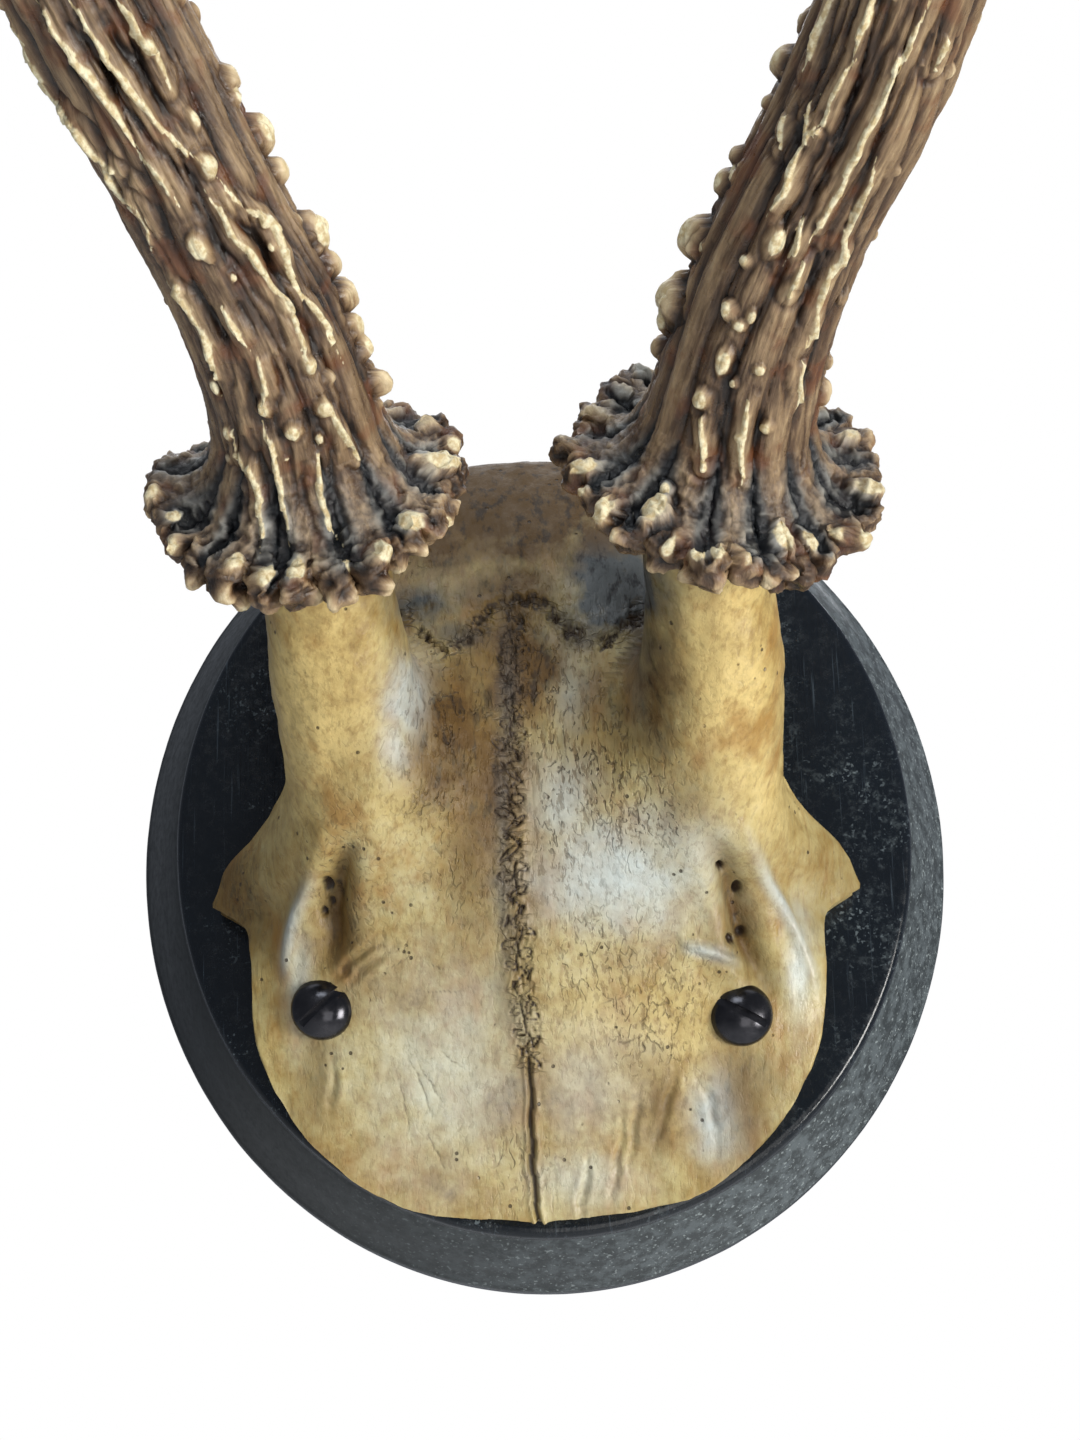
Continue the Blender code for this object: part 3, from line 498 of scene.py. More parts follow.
def smooth_curve(points, steps):
    """A Catmull-Rom curve through the points, with this many steps between each two."""
    points = np.asarray(points, float)
    padded = np.vstack([2 * points[0] - points[1], points, 2 * points[-1] - points[-2]])
    found = []
    for i in range(1, len(padded) - 2):
        a, b, c, d = padded[i - 1 : i + 3]
        slope = c - a
        bend = 2 * a - 5 * b + 4 * c - d
        twist = 3 * b - a - 3 * c + d
        for t in np.arange(steps) / steps:
            found.append(0.5 * (2 * b + slope * t + bend * t**2 + twist * t**3))
    return np.array(found + [points[-1]])


def lengths(path):
    """How far along a path each of its points lies."""
    return np.concatenate([[0], np.cumsum(np.linalg.norm(np.diff(path, axis=0), axis=1))])


def read_at(places, length, values):
    """Every column of values, read at places along a length."""
    return np.stack([np.interp(places, length, column) for column in values.T], 1)


class Skin:
    """A closed skin as rows of points round an axis, with the marks that its finish reads.

    Its first and last rows are single points where it is closed. `straight` holds the points' places on the
    skin laid straight, or else their own places.
    """

    def __init__(self, points, marks=(), straight=None):
        self.points = points
        self.straight = points.copy() if straight is None else straight
        self.marks = {name: np.zeros(points.shape[:2]) for name in marks}

    def keep_smooth(self):
        """Remembers this shape as the one that relief is measured from."""
        self.smooth = self.points.copy()
        self.smooth_normals = self.normals()

    def mark_relief(self, reach, full):
        """Marks how far each point stands above its surroundings, from 0 in the deepest furrow to 1."""
        height = ((self.points - self.smooth) * self.smooth_normals).sum(-1)
        around = np.linalg.norm(self.smooth - np.roll(self.smooth, 1, 1), axis=-1).mean(1)
        along = np.linalg.norm(np.diff(self.smooth, axis=0), axis=-1).mean(1)
        mean = height.copy()
        columns = height.shape[1]
        wave = np.fft.rfftfreq(columns)
        for row in range(len(mean)):
            spread = reach / max(around[row], 0.05 * MM)
            kept = np.exp(-2 * (np.pi * wave * spread) ** 2)
            mean[row] = np.fft.irfft(np.fft.rfft(mean[row]) * kept, columns)
        place = np.concatenate([[0], np.cumsum(along)])
        gap = (place[:, None] - place[None]) / reach
        weight = np.exp(-0.5 * gap**2)
        mean = weight @ mean / weight.sum(1, keepdims=True)
        self.marks["crest"] = np.clip(0.5 + 0.5 * (height - mean) / full, 0, 1)

    def normals(self):
        around = np.roll(self.points, -1, 1) - np.roll(self.points, 1, 1)
        along = np.gradient(self.points, axis=0)
        found = unit(np.cross(around, along))
        middle = self.points.mean(1, keepdims=True)
        sign = np.sign((found * (self.points - middle)).sum(-1).mean())
        return found * sign

    def raise_mark(self, name, amount):
        self.marks[name] = np.maximum(self.marks[name], amount)

    def seen(self, normals):
        """Pixel places, distances from the camera, and whether each point faces it."""
        pixels, away = in_picture(self.points)
        facing = (normals * (CAMERA_PLACE - self.points)).sum(-1) > 0
        return pixels, away, facing

    def rows(self, first, last):
        """Part of the skin between two rows, closed at both ends by a point."""
        part = Skin(self.points[first:last], straight=self.straight[first:last])
        part.marks = {name: values[first:last] for name, values in self.marks.items()}
        for end in (0, -1):
            if np.ptp(part.points[end], axis=0).max() > 1e-9:
                part.close(end)
        return part

    def close(self, end):
        def with_end(values, middle):
            row = np.broadcast_to(middle, values[end].shape)[None]
            return np.concatenate([row, values] if end == 0 else [values, row])

        self.straight = with_end(self.straight, self.straight[end].mean(0))
        self.marks = {name: with_end(values, values[end].mean()) for name, values in self.marks.items()}
        self.points = with_end(self.points, self.points[end].mean(0))


def linked(name, data):
    """A new object of this data, in the scene."""
    made = bpy.data.objects.new(name, data)
    bpy.context.scene.collection.objects.link(made)
    return made


def mesh_of(bm, name):
    mesh = bpy.data.meshes.new(name)
    bm.to_mesh(mesh)
    bm.free()
    return mesh


def shade(mesh, sharp_angle):
    """Shades a mesh smooth, but for edges that turn by more than an angle in degrees."""
    mesh.shade_smooth()
    mesh.set_sharp_from_angle(angle=math.radians(sharp_angle))


def skin_object(name, skin):
    """The mesh object of a skin: a grid whose points are moved onto it, with its seam and ends merged."""
    rows, columns = skin.points.shape[:2]
    bm = bmesh.new()
    bmesh.ops.create_grid(bm, x_segments=columns, y_segments=rows - 1, size=0.5)
    mesh = bpy.data.meshes.new(name)
    bm.to_mesh(mesh)
    flat = np.empty(len(mesh.vertices) * 3, np.float32)
    mesh.vertices.foreach_get("co", flat)
    flat = flat.reshape(-1, 3)
    column = np.rint((flat[:, 0] + 0.5) * columns).astype(int) % columns
    row = np.rint((flat[:, 1] + 0.5) * (rows - 1)).astype(int)
    mesh.vertices.foreach_set("co", skin.points[row, column].astype(np.float32).ravel())
    layer = mesh.attributes.new("straight", "FLOAT_VECTOR", "POINT")
    layer.data.foreach_set("vector", skin.straight[row, column].astype(np.float32).ravel())
    for mark, values in skin.marks.items():
        layer = mesh.attributes.new(mark, "FLOAT", "POINT")
        layer.data.foreach_set("value", values[row, column].astype(np.float32))
    bm.clear()
    bm.from_mesh(mesh)
    bmesh.ops.remove_doubles(bm, verts=bm.verts, dist=1e-7)
    bmesh.ops.recalc_face_normals(bm, faces=bm.faces)
    bm.to_mesh(mesh)
    bm.free()
    shade(mesh, 80)
    return linked(name, mesh)


def place_piece(piece, material, slot, *nodes):
    piece.data.materials.clear()
    piece.data.materials.append(material)
    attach(piece, BODY)
    if nodes:
        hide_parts(*nodes)


def distance_to_path(points, path):
    """Distance to a path and share of the way along it. Points far from it get a metre and 0."""
    away = np.full(points.shape[:-1], 1.0)
    share = np.zeros(points.shape[:-1])
    reach = 6 * MM
    near = ((points > path.min(0) - reach) & (points < path.max(0) + reach)).all(-1)
    chosen = points[near]
    best = np.full(len(chosen), 1.0)
    best_share = np.zeros(len(chosen))
    for i, (a, b) in enumerate(zip(path[:-1], path[1:])):
        run = b - a
        part = np.clip((chosen - a) @ run / max(run @ run, 1e-18), 0, 1)
        found = np.linalg.norm(chosen - a - part[:, None] * run, axis=-1)
        best_share = np.where(found < best, (i + part) / (len(path) - 1), best_share)
        best = np.minimum(best, found)
    away[near] = best
    share[near] = best_share
    return away, share


def cast(skin, seen, pixels):
    """Row and column of the visible skin point nearest to each pixel place."""
    places, away, facing = seen
    found = []
    for pixel in pixels:
        miss = np.hypot(places[..., 0] - pixel[0], places[..., 1] - pixel[1])
        cost = miss + (away - away.min()) * 300 + np.where(facing, 0, 1e5)
        found.append(np.unravel_index(np.argmin(cost), cost.shape))
    return found


def table(pairs, at):
    return np.interp(at, [p[0] * MM for p in pairs], [p[1] for p in pairs])


def direction(turn, lean, side):
    """A direction from its turn away from the wall and its lean away from the midline, in degrees."""
    turn = np.radians(turn)
    lean = np.radians(lean)
    return np.stack([side * np.sin(lean), -np.cos(lean) * np.sin(turn), np.cos(lean) * np.cos(turn)], -1)


def beam_line(antler):
    """Points along the beam's axis, from the middle of the burr to the tip, one a millimetre."""
    at = (np.arange(round(ANTLER_LENGTH / MM)) + 0.5) * MM
    steps = direction(table(BEAM_TURN_FROM_WALL, at), table(antler["lean"], at), antler["side"]) * MM
    return np.array(antler["burr"]) * MM + np.vstack([np.zeros(3), np.cumsum(steps, 0)])


def tine_line(antler, tine):
    start = beam_line(antler)[round(tine["fork"] / MM)]
    count = round(tine["length"] / MM)
    turns = np.interp((np.arange(count) + 0.5) / count, (0, 1), tine["turn"])
    steps = direction(turns, np.full(count, tine["lean"]), antler["side"]) * MM
    return start + np.vstack([np.zeros(3), np.cumsum(steps, 0)])


def outward_of(along, side):
    """The direction away from the midline at a right angle to each way along a line."""
    across = np.zeros_like(along)
    across[:, 0] = side
    return unit(across - along * side * along[:, :1])


def frames(line, side):
    """For each point of a line: the way along it, its outward side and the side that faces the viewer."""
    along = unit(np.gradient(line, axis=0))
    outward = outward_of(along, side)
    facing = np.cross(along, outward)
    sign = np.sign(facing @ np.array((0, -1.0, -1.0)))
    return along, outward, facing * sign[:, None]


def between(values, at):
    """Values given one a millimetre, read between them."""
    place = np.clip(at / MM, 0, len(values) - 1)
    low = np.minimum(place.astype(int), len(values) - 2)
    share = (place - low)[:, None]
    return values[low] * (1 - share) + values[low + 1] * share


def round_rows(line, side, at, radii, angles, lift=None):
    """Rings of points round a line; `at` and `radii` may differ from column to column."""
    along, outward, facing = frames(line, side)
    shape = (len(at), len(angles))
    at = np.broadcast_to(at[:, None] if at.ndim == 1 else at, shape)
    flat = at.ravel()
    centre = between(line, flat).reshape(*shape, 3)
    ways = [unit(between(values, flat)).reshape(*shape, 3) for values in (along, outward, facing)]
    radial = ways[1] * np.cos(angles)[None, :, None] + ways[2] * np.sin(angles)[None, :, None]
    radii = np.broadcast_to(radii[:, None] if radii.ndim == 1 else radii, shape)
    points = centre + radial * radii[..., None]
    if lift is not None:
        points = points + ways[0] * lift[..., None]
    return points, radial


def beam_radius(at):
    return table(BEAM_RADII, at) * MM


def burr_profile(rows):
    """The burr's outline from its underside round the rim to the beam: radius, height, frill and dish."""
    outline = smooth_curve(
        (
            (8.4, -3.4, 0, 0),
            (10.0, -3.2, 0.05, 0),
            (12.6, -2.4, 0.3, 0),
            (15.2, -1.5, 0.7, 0),
            (17.0, -0.8, 1, 0),
            (17.9, 0.2, 1, 0),
            (18.0, 1.4, 1, 0.05),
            (17.3, 2.4, 1, 0.4),
            (15.9, 2.6, 0.85, 0.8),
            (14.4, 2.9, 0.65, 1),
            (13.0, 3.8, 0.5, 1),
            (11.8, 5.2, 0.35, 0.9),
            (11.0, 6.9, 0.2, 0.7),
            (10.4, 8.7, 0.1, 0.5),
            (9.88, 10.5, 0.0, 0.3),
        ),
        12,
    )
    length = lengths(outline[:, :2])
    return read_at(np.linspace(0, length[-1], rows), length, outline)


def ring_noise(angles, count, seed):
    """Noise that runs once round a ring, with about this many swells."""
    size = count / (2 * np.pi)
    ring = np.stack([size * np.cos(angles), size * np.sin(angles), np.full_like(angles, seed + 0.37)], -1)
    return noise(ring, seed)


def ridge_wander(at):
    """How far the ridges have turned round the beam at a place along it, as a phase."""
    return 0.9 * np.sin(at / (17 * MM)) + 0.5 * np.sin(at / (7 * MM) + 2)


def rim_ruffle(angle, antler):
    """The slow in-and-out wave of the burr's rim."""
    return 0.45 * np.sin(3 * angle + antler["ruffle"]) + 0.35 * np.sin(5 * angle + 2.3 * antler["ruffle"])


def rim_waves(angles, antler):
    """The waves of the burr's rim: teeth, 0 in the notches, and its slow ruffle and smooth outer lobe."""
    seed = antler["seed"]
    turned = angles + 0.09 * ring_noise(angles, 9, seed)
    teeth = np.abs(np.sin(RIDGES * turned + ridge_wander(0))) ** 0.6
    teeth = teeth * (1 + 0.9 * ring_noise(angles, 26, seed + 1))
    ruffle = rim_ruffle(angles, antler) + 0.5 * ring_noise(angles, 14, seed + 2)
    lobe = np.exp(-((np.angle(np.exp(1j * angles)) / 0.55) ** 2))
    return teeth * (1 - 0.75 * lobe), ruffle, lobe


def antler_skin(antler):
    """The whole antler from the burr's underside to the top tine's tip, with its relief."""
    angles = 2 * np.pi * np.arange(ANTLER_COLUMNS) / ANTLER_COLUMNS
    line = beam_line(antler)
    side = antler["side"]
    burr = burr_profile(BURR_ROWS)
    teeth, ruffle, lobe = rim_waves(angles, antler)
    frill = burr[:, 2:3]
    swing = 2.3 * (teeth - 0.5) + 1.0 * ruffle + 1.3 * lobe
    radii = burr[:, :1] * MM + frill**2 * swing[None] * MM
    tilt = 0.8 * np.cos(2 * angles + 0.5) + 1.7 * ruffle + 0.5 * lobe
    lift = burr[:, 1:2] * MM + frill**1.5 * tilt[None] * MM
    burr_points, burr_radial = round_rows(line, side, np.zeros(BURR_ROWS), radii, angles, lift)

    dense_rows = LOWER_BEAM_ROWS * 3 // 4
    beam_at = np.concatenate(
        [
            np.linspace(FLARE_TOP, DENSE_BEAM_END, dense_rows)[1:],
            np.linspace(DENSE_BEAM_END, FIRST_CUT, LOWER_BEAM_ROWS - dense_rows)[1:],
            np.linspace(FIRST_CUT, SECOND_CUT, UPPER_BEAM_ROWS)[1:],
            np.linspace(SECOND_CUT, ANTLER_LENGTH, TOP_TINE_ROWS)[1:],
        ]
    )
    beam_radii = beam_radius(beam_at)
    beam_radii[-6:] *= np.sqrt(np.linspace(1, 0, 6))
    beam_points, beam_radial = round_rows(line, side, beam_at, beam_radii, angles)

    at = np.concatenate([burr[:, 1] * MM, beam_at])
    size = np.concatenate([burr[:, 0] * MM, np.maximum(beam_radii, 3 * MM)])
    straight = np.stack(
        [
            size[:, None] * np.cos(angles)[None],
            size[:, None] * np.sin(angles)[None],
            np.broadcast_to(at[:, None], (len(at), len(angles))),
        ],
        -1,
    )
    points = np.concatenate([burr_points, beam_points])
    radial = np.concatenate([burr_radial, beam_radial])
    skin = Skin(points, ANTLER_MARKS, straight)
    skin.at = np.broadcast_to(at[:, None], points.shape[:2])
    skin.radial = radial
    skin.frill = np.concatenate([burr[:, 2], np.zeros(len(beam_at))])[:, None]
    skin.dish = np.concatenate([burr[:, 3], np.zeros(len(beam_at))])[:, None]
    return skin


def carve_furrows(skin, antler):
    """Rounded lengthwise ridges between sharp, wandering furrows, fading out towards the tip."""
    seed = antler["seed"]
    place = skin.straight / MM
    angles = np.arctan2(place[..., 1], place[..., 0])
    strength = table(RIDGE_FADE, skin.at)
    drift = noise(place / (9, 9, 34), seed) + 0.3 * noise(place / (4, 4, 12), seed + 7)
    broad = np.abs(np.sin(RIDGES / 2 * angles + ridge_wander(skin.at) + 0.9 * drift)) ** 0.5
    narrow = np.abs(np.sin(14.5 * angles + 3.4 * noise(place / (5, 5, 18), seed + 1))) ** 0.6
    beads = 1 - 2.4 * np.abs(noise(place / (2.4, 2.4, 5.5), seed + 2))
    fibres = noise(place / (0.42, 0.42, 3.4), seed + 3)
    grit = noise(place / (0.5, 0.5, 0.8), seed + 4)
    patch = ramp(noise(place / (6, 6, 14), seed + 5), -0.3, 0.3)
    swell = noise(place / (9, 9, 24), seed + 6)
    relief = RIDGE_HEIGHT / MM * (broad - RIDGE_MEAN) + (0.08 + 0.22 * patch) * narrow
    relief = relief + 0.16 * (1 - patch) * beads + 0.09 * fibres + 0.06 * grit + 0.35 * swell - 0.2
    # Where the burr's flare is dished, mark it for painted shade, deepest in its furrows.
    skin.raise_mark("hollow", np.clip(skin.dish * (1.55 - 1.3 * broad), 0, 1))
    flare = skin.smooth_normals * (skin.dish * (1.7 * broad - 1.35 + 0.2 * beads))[..., None] * MM
    skin.points = skin.points + flare * (1 - strength[..., None])
    skin.points = skin.points + skin.radial * (strength * relief)[..., None] * MM


def raise_ridges(skin, paths):
    """The named cream ridges: a rounded crest with a furrow on each side."""
    seen = skin.seen(skin.normals())
    for path in paths:
        spots = cast(skin, seen, wander(path, 1.8, 38, 5)[::4])
        line = np.array([skin.points[spot] for spot in spots])
        away, share = distance_to_path(skin.points, line)
        ends = 1 - np.abs(2 * share - 1) ** 4
        uneven = ends * (1 + 0.7 * noise(skin.straight / (2 * MM, 2 * MM, 4 * MM), 77))
        crest = np.exp(-((away / (0.32 * MM)) ** 4))
        swell = np.exp(-((away / (1.2 * MM)) ** 2))
        trench = np.exp(-(((away - 1.7 * MM) / (0.4 * MM)) ** 2))
        lift = (0.5 * crest + 0.3 * swell) * uneven - 0.5 * trench * ends
        skin.points = skin.points + skin.radial * lift[..., None] * MM
        width = 0.34 * MM * np.clip(uneven, 0.15, 1.7)
        skin.raise_mark("ivory", np.exp(-((away / width) ** 4)))


def raise_pearls(skin, pearls, height=0.85, larger=1.0, longer=1.0):
    """Pearls and knobs at their pixel places: steep, rounded and pale on top."""
    normals = skin.normals()
    seen = skin.seen(normals)
    spots = cast(skin, seen, [pearl[:2] for pearl in pearls])
    along = unit(np.gradient(skin.points, axis=0))
    shift = np.zeros_like(skin.points)
    uneven = 1 + 0.32 * noise(skin.points / (1.3 * MM), 91)
    for spot, (_, _, size, stretch, ivory) in zip(spots, pearls):
        radius = larger * size * seen[1][spot] / FOCAL_PIXELS
        stretch = stretch * longer
        offset = skin.points - skin.points[spot]
        lengthwise = offset @ along[spot]
        across = np.sqrt(np.maximum((offset**2).sum(-1) - lengthwise**2, 0))
        even = np.hypot(across / radius, lengthwise / (radius * stretch))
        reach = even * uneven
        dome = np.clip(1 - reach**2.4, 0, 1) ** 0.6
        ring = np.exp(-((reach - 1.25) ** 2) / 0.03)
        lift = radius * (height * dome - 0.15 * ring)
        higher = (np.abs(lift) > np.linalg.norm(shift, axis=-1))[..., None]
        shift = np.where(higher, normals[spot] * lift[..., None], shift)
        skin.raise_mark("ivory", ivory * ramp(-even, -0.95, -0.45))
    skin.points = skin.points + shift


def scatter_pearls(skin, antler):
    """Smaller pearls where the picture doesn't reach: the back, the outer side and further up the beam."""
    draw = np.random.default_rng(antler["seed"])
    first_row = BURR_ROWS + 4
    for _ in range(PEARL_TRIES):
        row = int(draw.integers(first_row, BURR_ROWS + LOWER_BEAM_ROWS - 12))
        column = int(draw.integers(0, ANTLER_COLUMNS))
        radius = draw.uniform(0.35, 1.15) * MM
        stretch = draw.uniform(1.0, 1.9)
        ivory = draw.uniform(0.2, 1)
        pixel, _ = in_picture(skin.points[row, column])
        angle = 2 * np.pi * column / ANTLER_COLUMNS
        if math.sin(angle) > 0.1 and pixel[1] > 0:
            continue
        rows = slice(max(row - 16, 0), row + 17)
        offset = skin.points[rows] - skin.points[row, column]
        lengthwise = skin.at[rows] - skin.at[row, column]
        across = np.sqrt(np.maximum((offset**2).sum(-1) - lengthwise**2, 0))
        reach = np.hypot(across / radius, lengthwise / (radius * stretch))
        dome = np.sqrt(np.clip(1 - reach**2, 0, 1))
        skin.points[rows] += skin.radial[rows] * (0.8 * radius * dome)[..., None]
        mark = skin.marks["ivory"]
        mark[rows] = np.maximum(mark[rows], ivory * ramp(-reach, -0.95, -0.5))


def finish_burr(skin, antler):
    """Lumps, crags and grain on the burr's teeth, and lower ones on its flare."""
    seed = antler["seed"]
    place = skin.points / MM
    lumps = noise(place / 2.4, seed + 20)
    small = noise(place / 1.1, seed + 21)
    grit = noise(place / 0.5, seed + 22)
    crags = 1 - 2.6 * np.abs(noise(place / 1.7, seed + 23))
    amount = skin.frill**2 * (0.4 * lumps + 0.3 * small + 0.3 * crags + 0.1 * grit)
    amount = amount + skin.dish * (0.15 * lumps + 0.16 * small + 0.14 * crags + 0.08 * grit)
    skin.points = skin.points + skin.normals() * amount[..., None] * MM


def build_antler(side_name):
    antler = ANTLERS[side_name]
    skin = antler_skin(antler)
    skin.keep_smooth()
    carve_furrows(skin, antler)
    finish_burr(skin, antler)
    raise_ridges(skin, BEAM_RIDGES[side_name])
    raise_pearls(skin, BEAM_PEARLS[side_name])
    raise_pearls(skin, BURR_KNOBS[side_name], 0.85, 1.2, 1.35)
    scatter_pearls(skin, antler)
    skin.mark_relief(1.5 * MM, 0.75 * MM)
    tip = skin.at / ANTLER_LENGTH
    skin.raise_mark("ivory", ramp(tip, 0.86, 1.0) * 0.9)
    ends = np.cumsum([BURR_ROWS, LOWER_BEAM_ROWS - 2, UPPER_BEAM_ROWS - 1, TOP_TINE_ROWS - 1])
    names = ("burr_", "lower_beam_", "upper_beam_", "top_tine_")
    first = 0
    for name, end in zip(names, ends):
        part = skin.rows(first, end)
        piece = skin_object("finished_" + name + side_name, part)
        slot = "antler_tip" if name == "top_tine_" else "antler_bone"
        place_piece(piece, material_of("antler"), slot, name + side_name)
        first = end - 1
    for name, tine in (("front_tine_", FRONT_TINE), ("rear_tine_", REAR_TINE)):
        part = tine_skin(antler, tine, name)
        piece = skin_object("finished_" + name + side_name, part)
        place_piece(piece, material_of("antler"), "antler_tip", name + side_name)


def tine_skin(antler, tine, name):
    """A tine: it swells out of the beam, with ridges low down and a polished tip."""
    columns = 130
    rows = 110
    angles = 2 * np.pi * np.arange(columns) / columns
    line = tine_line(antler, tine)
    at = np.linspace(0, tine["length"], rows)
    share = at / tine["length"]
    radii = tine["root"] * (1 - share**1.6) + 0.4 * MM
    radii = radii + 1.8 * MM * np.exp(-((share / 0.22) ** 2))
    radii[-6:] *= np.sqrt(np.linspace(1, 0, 6))
    points, radial = round_rows(line, antler["side"], at, radii, angles)
    size = np.maximum(radii, 2 * MM)[:, None]
    spread = np.broadcast_to(at[:, None], points.shape[:2])
    straight = np.stack([size * np.cos(angles)[None], size * np.sin(angles)[None], spread], -1)
    skin = Skin(points, ANTLER_MARKS, straight)
    seed = antler["seed"] + len(name)
    place = straight / MM
    strength = np.interp(share, (0, 0.3, 0.75, 1), (0.8, 0.6, 0.15, 0))[:, None]
    coarse = 1 - 2.2 * np.abs(noise(place / (3.4, 3.4, 16), seed))
    fine = noise(place / (0.8, 0.8, 4), seed + 1)
    skin.keep_smooth()
    skin.points = points + radial * (strength * (0.5 * coarse + 0.1 * fine - 0.1))[..., None] * MM
    skin.mark_relief(1.5 * MM, 0.6 * MM)
    skin.raise_mark("ivory", np.broadcast_to(ramp(share, 0.45, 0.95)[:, None], points.shape[:2]) * 0.9)
    return skin


def cap_rim():
    """The rim as a closed loop of (x, height, depth), with the process tips kept sharp."""
    half = np.array(CAP_RIM) * MM
    right = np.vstack([smooth_curve(half[: RIM_TIP + 1], 10)[:-1], smooth_curve(half[RIM_TIP:], 10)])
    left = right[-2:0:-1] * (-1, 1, 1)
    return np.vstack([right, left])


def cap_reach(angles):
    """The rim's distance from the cap's centre, and its depth, at each angle."""
    rim = cap_rim()
    rim_angles = np.arctan2(rim[:, 1] - CAP_CENTRE_HEIGHT, rim[:, 0])
    order = np.argsort(rim_angles)
    reach = np.hypot(rim[:, 0], rim[:, 1] - CAP_CENTRE_HEIGHT)[order]
    depth = rim[order, 2]
    full = 2 * np.pi
    return (
        np.interp(angles, rim_angles[order], reach, period=full),
        np.interp(angles, rim_angles[order], depth, period=full),
    )


def cap_depth(x, z):
    """The plain skull's depth from the wall at places in its own frame, and their share of the way out."""
    angles = np.arctan2(z - CAP_CENTRE_HEIGHT, x)
    reach, rim_depth = cap_reach(angles)
    share = np.hypot(x, z - CAP_CENTRE_HEIGHT) / reach
    inner = np.clip(share, 0, 1)
    dome = np.clip((z - 4 * MM) / (24 * MM), 0, 1)
    fall = (1 - inner ** (2.5 + 0.5 * dome)) ** (1 - 0.5 * dome)
    off = np.hypot(np.abs(x) - PEDICLE_RISE_PLACE[0], z - PEDICLE_RISE_PLACE[1]) / PEDICLE_RISE_SPREAD
    rise = PEDICLE_RISE * np.exp(-(off**2)) * (1 - inner**6)
    middle = np.interp(z, np.array(MIDLINE_HEIGHTS) * MM, np.array(MIDLINE_DEPTHS) * MM)
    return rim_depth + (middle - rim_depth) * fall + rise, share


def pedicle_axis(antler):
    """The pedicle's axis from inside the skull to the burr's underside, with its radius at each point."""
    line = beam_line(antler)
    along = frames(line, antler["side"])[0][0]
    top = line[0] - along * BURR_UNDERSIDE
    foot = np.array(antler["foot"]) * MM
    heading = unit(unit(top - foot) + np.array((0, 0, 0.1)))
    length = np.linalg.norm(top - foot)
    t = np.linspace(0, 1, 40)[:, None]
    upper = (
        (2 * t**3 - 3 * t**2 + 1) * foot
        + (t**3 - 2 * t**2 + t) * length * heading
        + (3 * t**2 - 2 * t**3) * top
        + (t**3 - t**2) * length * along
    )
    below = foot - heading * np.linspace(20 * MM, 0, 30)[:-1, None]
    points = np.vstack([below, upper])
    share = np.concatenate([np.zeros(len(below)), t[:, 0]])
    sizes = (PEDICLE_FOOT_RADIUS, PEDICLE_RADIUS, PEDICLE_RADIUS, PEDICLE_TOP_RADIUS)
    return points, np.interp(share, (0, 0.45, 0.8, 1), sizes)


def bone_gap(points, axis, radii):
    """How far points lie outside the plain skull, outside a pedicle and outside both melted together."""
    x = points[..., 0] - CAP_SHIFT[0]
    z = points[..., 2] - CAP_SHIFT[1]
    depth, share = cap_depth(x, z)
    beyond = (share - 1) * np.hypot(x, z - CAP_CENTRE_HEIGHT) / np.maximum(share, 1e-6)
    skull = np.maximum((-points[..., 1] - depth) * 0.8, beyond)
    stalk = np.full(points.shape[:-1], 1.0)
    for centre, radius in zip(axis, radii):
        stalk = np.minimum(stalk, np.linalg.norm(points - centre, axis=-1) - radius)
    share = np.clip(0.5 + 0.5 * (stalk - skull) / MELT_WIDTH, 0, 1)
    joined = stalk * (1 - share) + skull * share - MELT_WIDTH * share * (1 - share)
    return skull, stalk, joined


def dive(own, other):
    """How far a piece dives where points lie further outside its own surface than the other's."""
    return DIVE_DEPTH * np.clip((own - other) / DIVE_WIDTH, 0, 1)


def first_way_out(start, way, axis, radii, reach, steps=26):
    """Moves points outwards along their ways to the melted bone's surface, where it lies within reach."""
    last = np.full(start.shape[:-1], -1.0)
    found = np.full(start.shape[:-1], np.nan)
    for step in range(steps + 1):
        move = reach * step / steps
        gap = bone_gap(start + way * move, axis, radii)[2]
        crossing = np.isnan(found) & (gap > 0)
        back = np.where(gap - last > 1e-9, gap / (gap - last), 0) * reach / steps
        found[crossing] = (move - np.clip(back, 0, reach / steps))[crossing] if step else 0
        last = gap
    return found


def bone_grain(points, normals, seed=5):
    """Fine unevenness of dry bone, the same on the skull and on its pedicles."""
    place = points / MM
    soft = noise(place / 6, seed)
    waves = noise(place / 2.7, seed + 3)
    fine = noise(place / (1.1, 1.1, 2), seed + 1)
    pits = noise(place / 0.5, seed + 2)
    return points + normals * (0.22 * soft + 0.1 * waves + 0.06 * fine + 0.03 * pits)[..., None] * MM


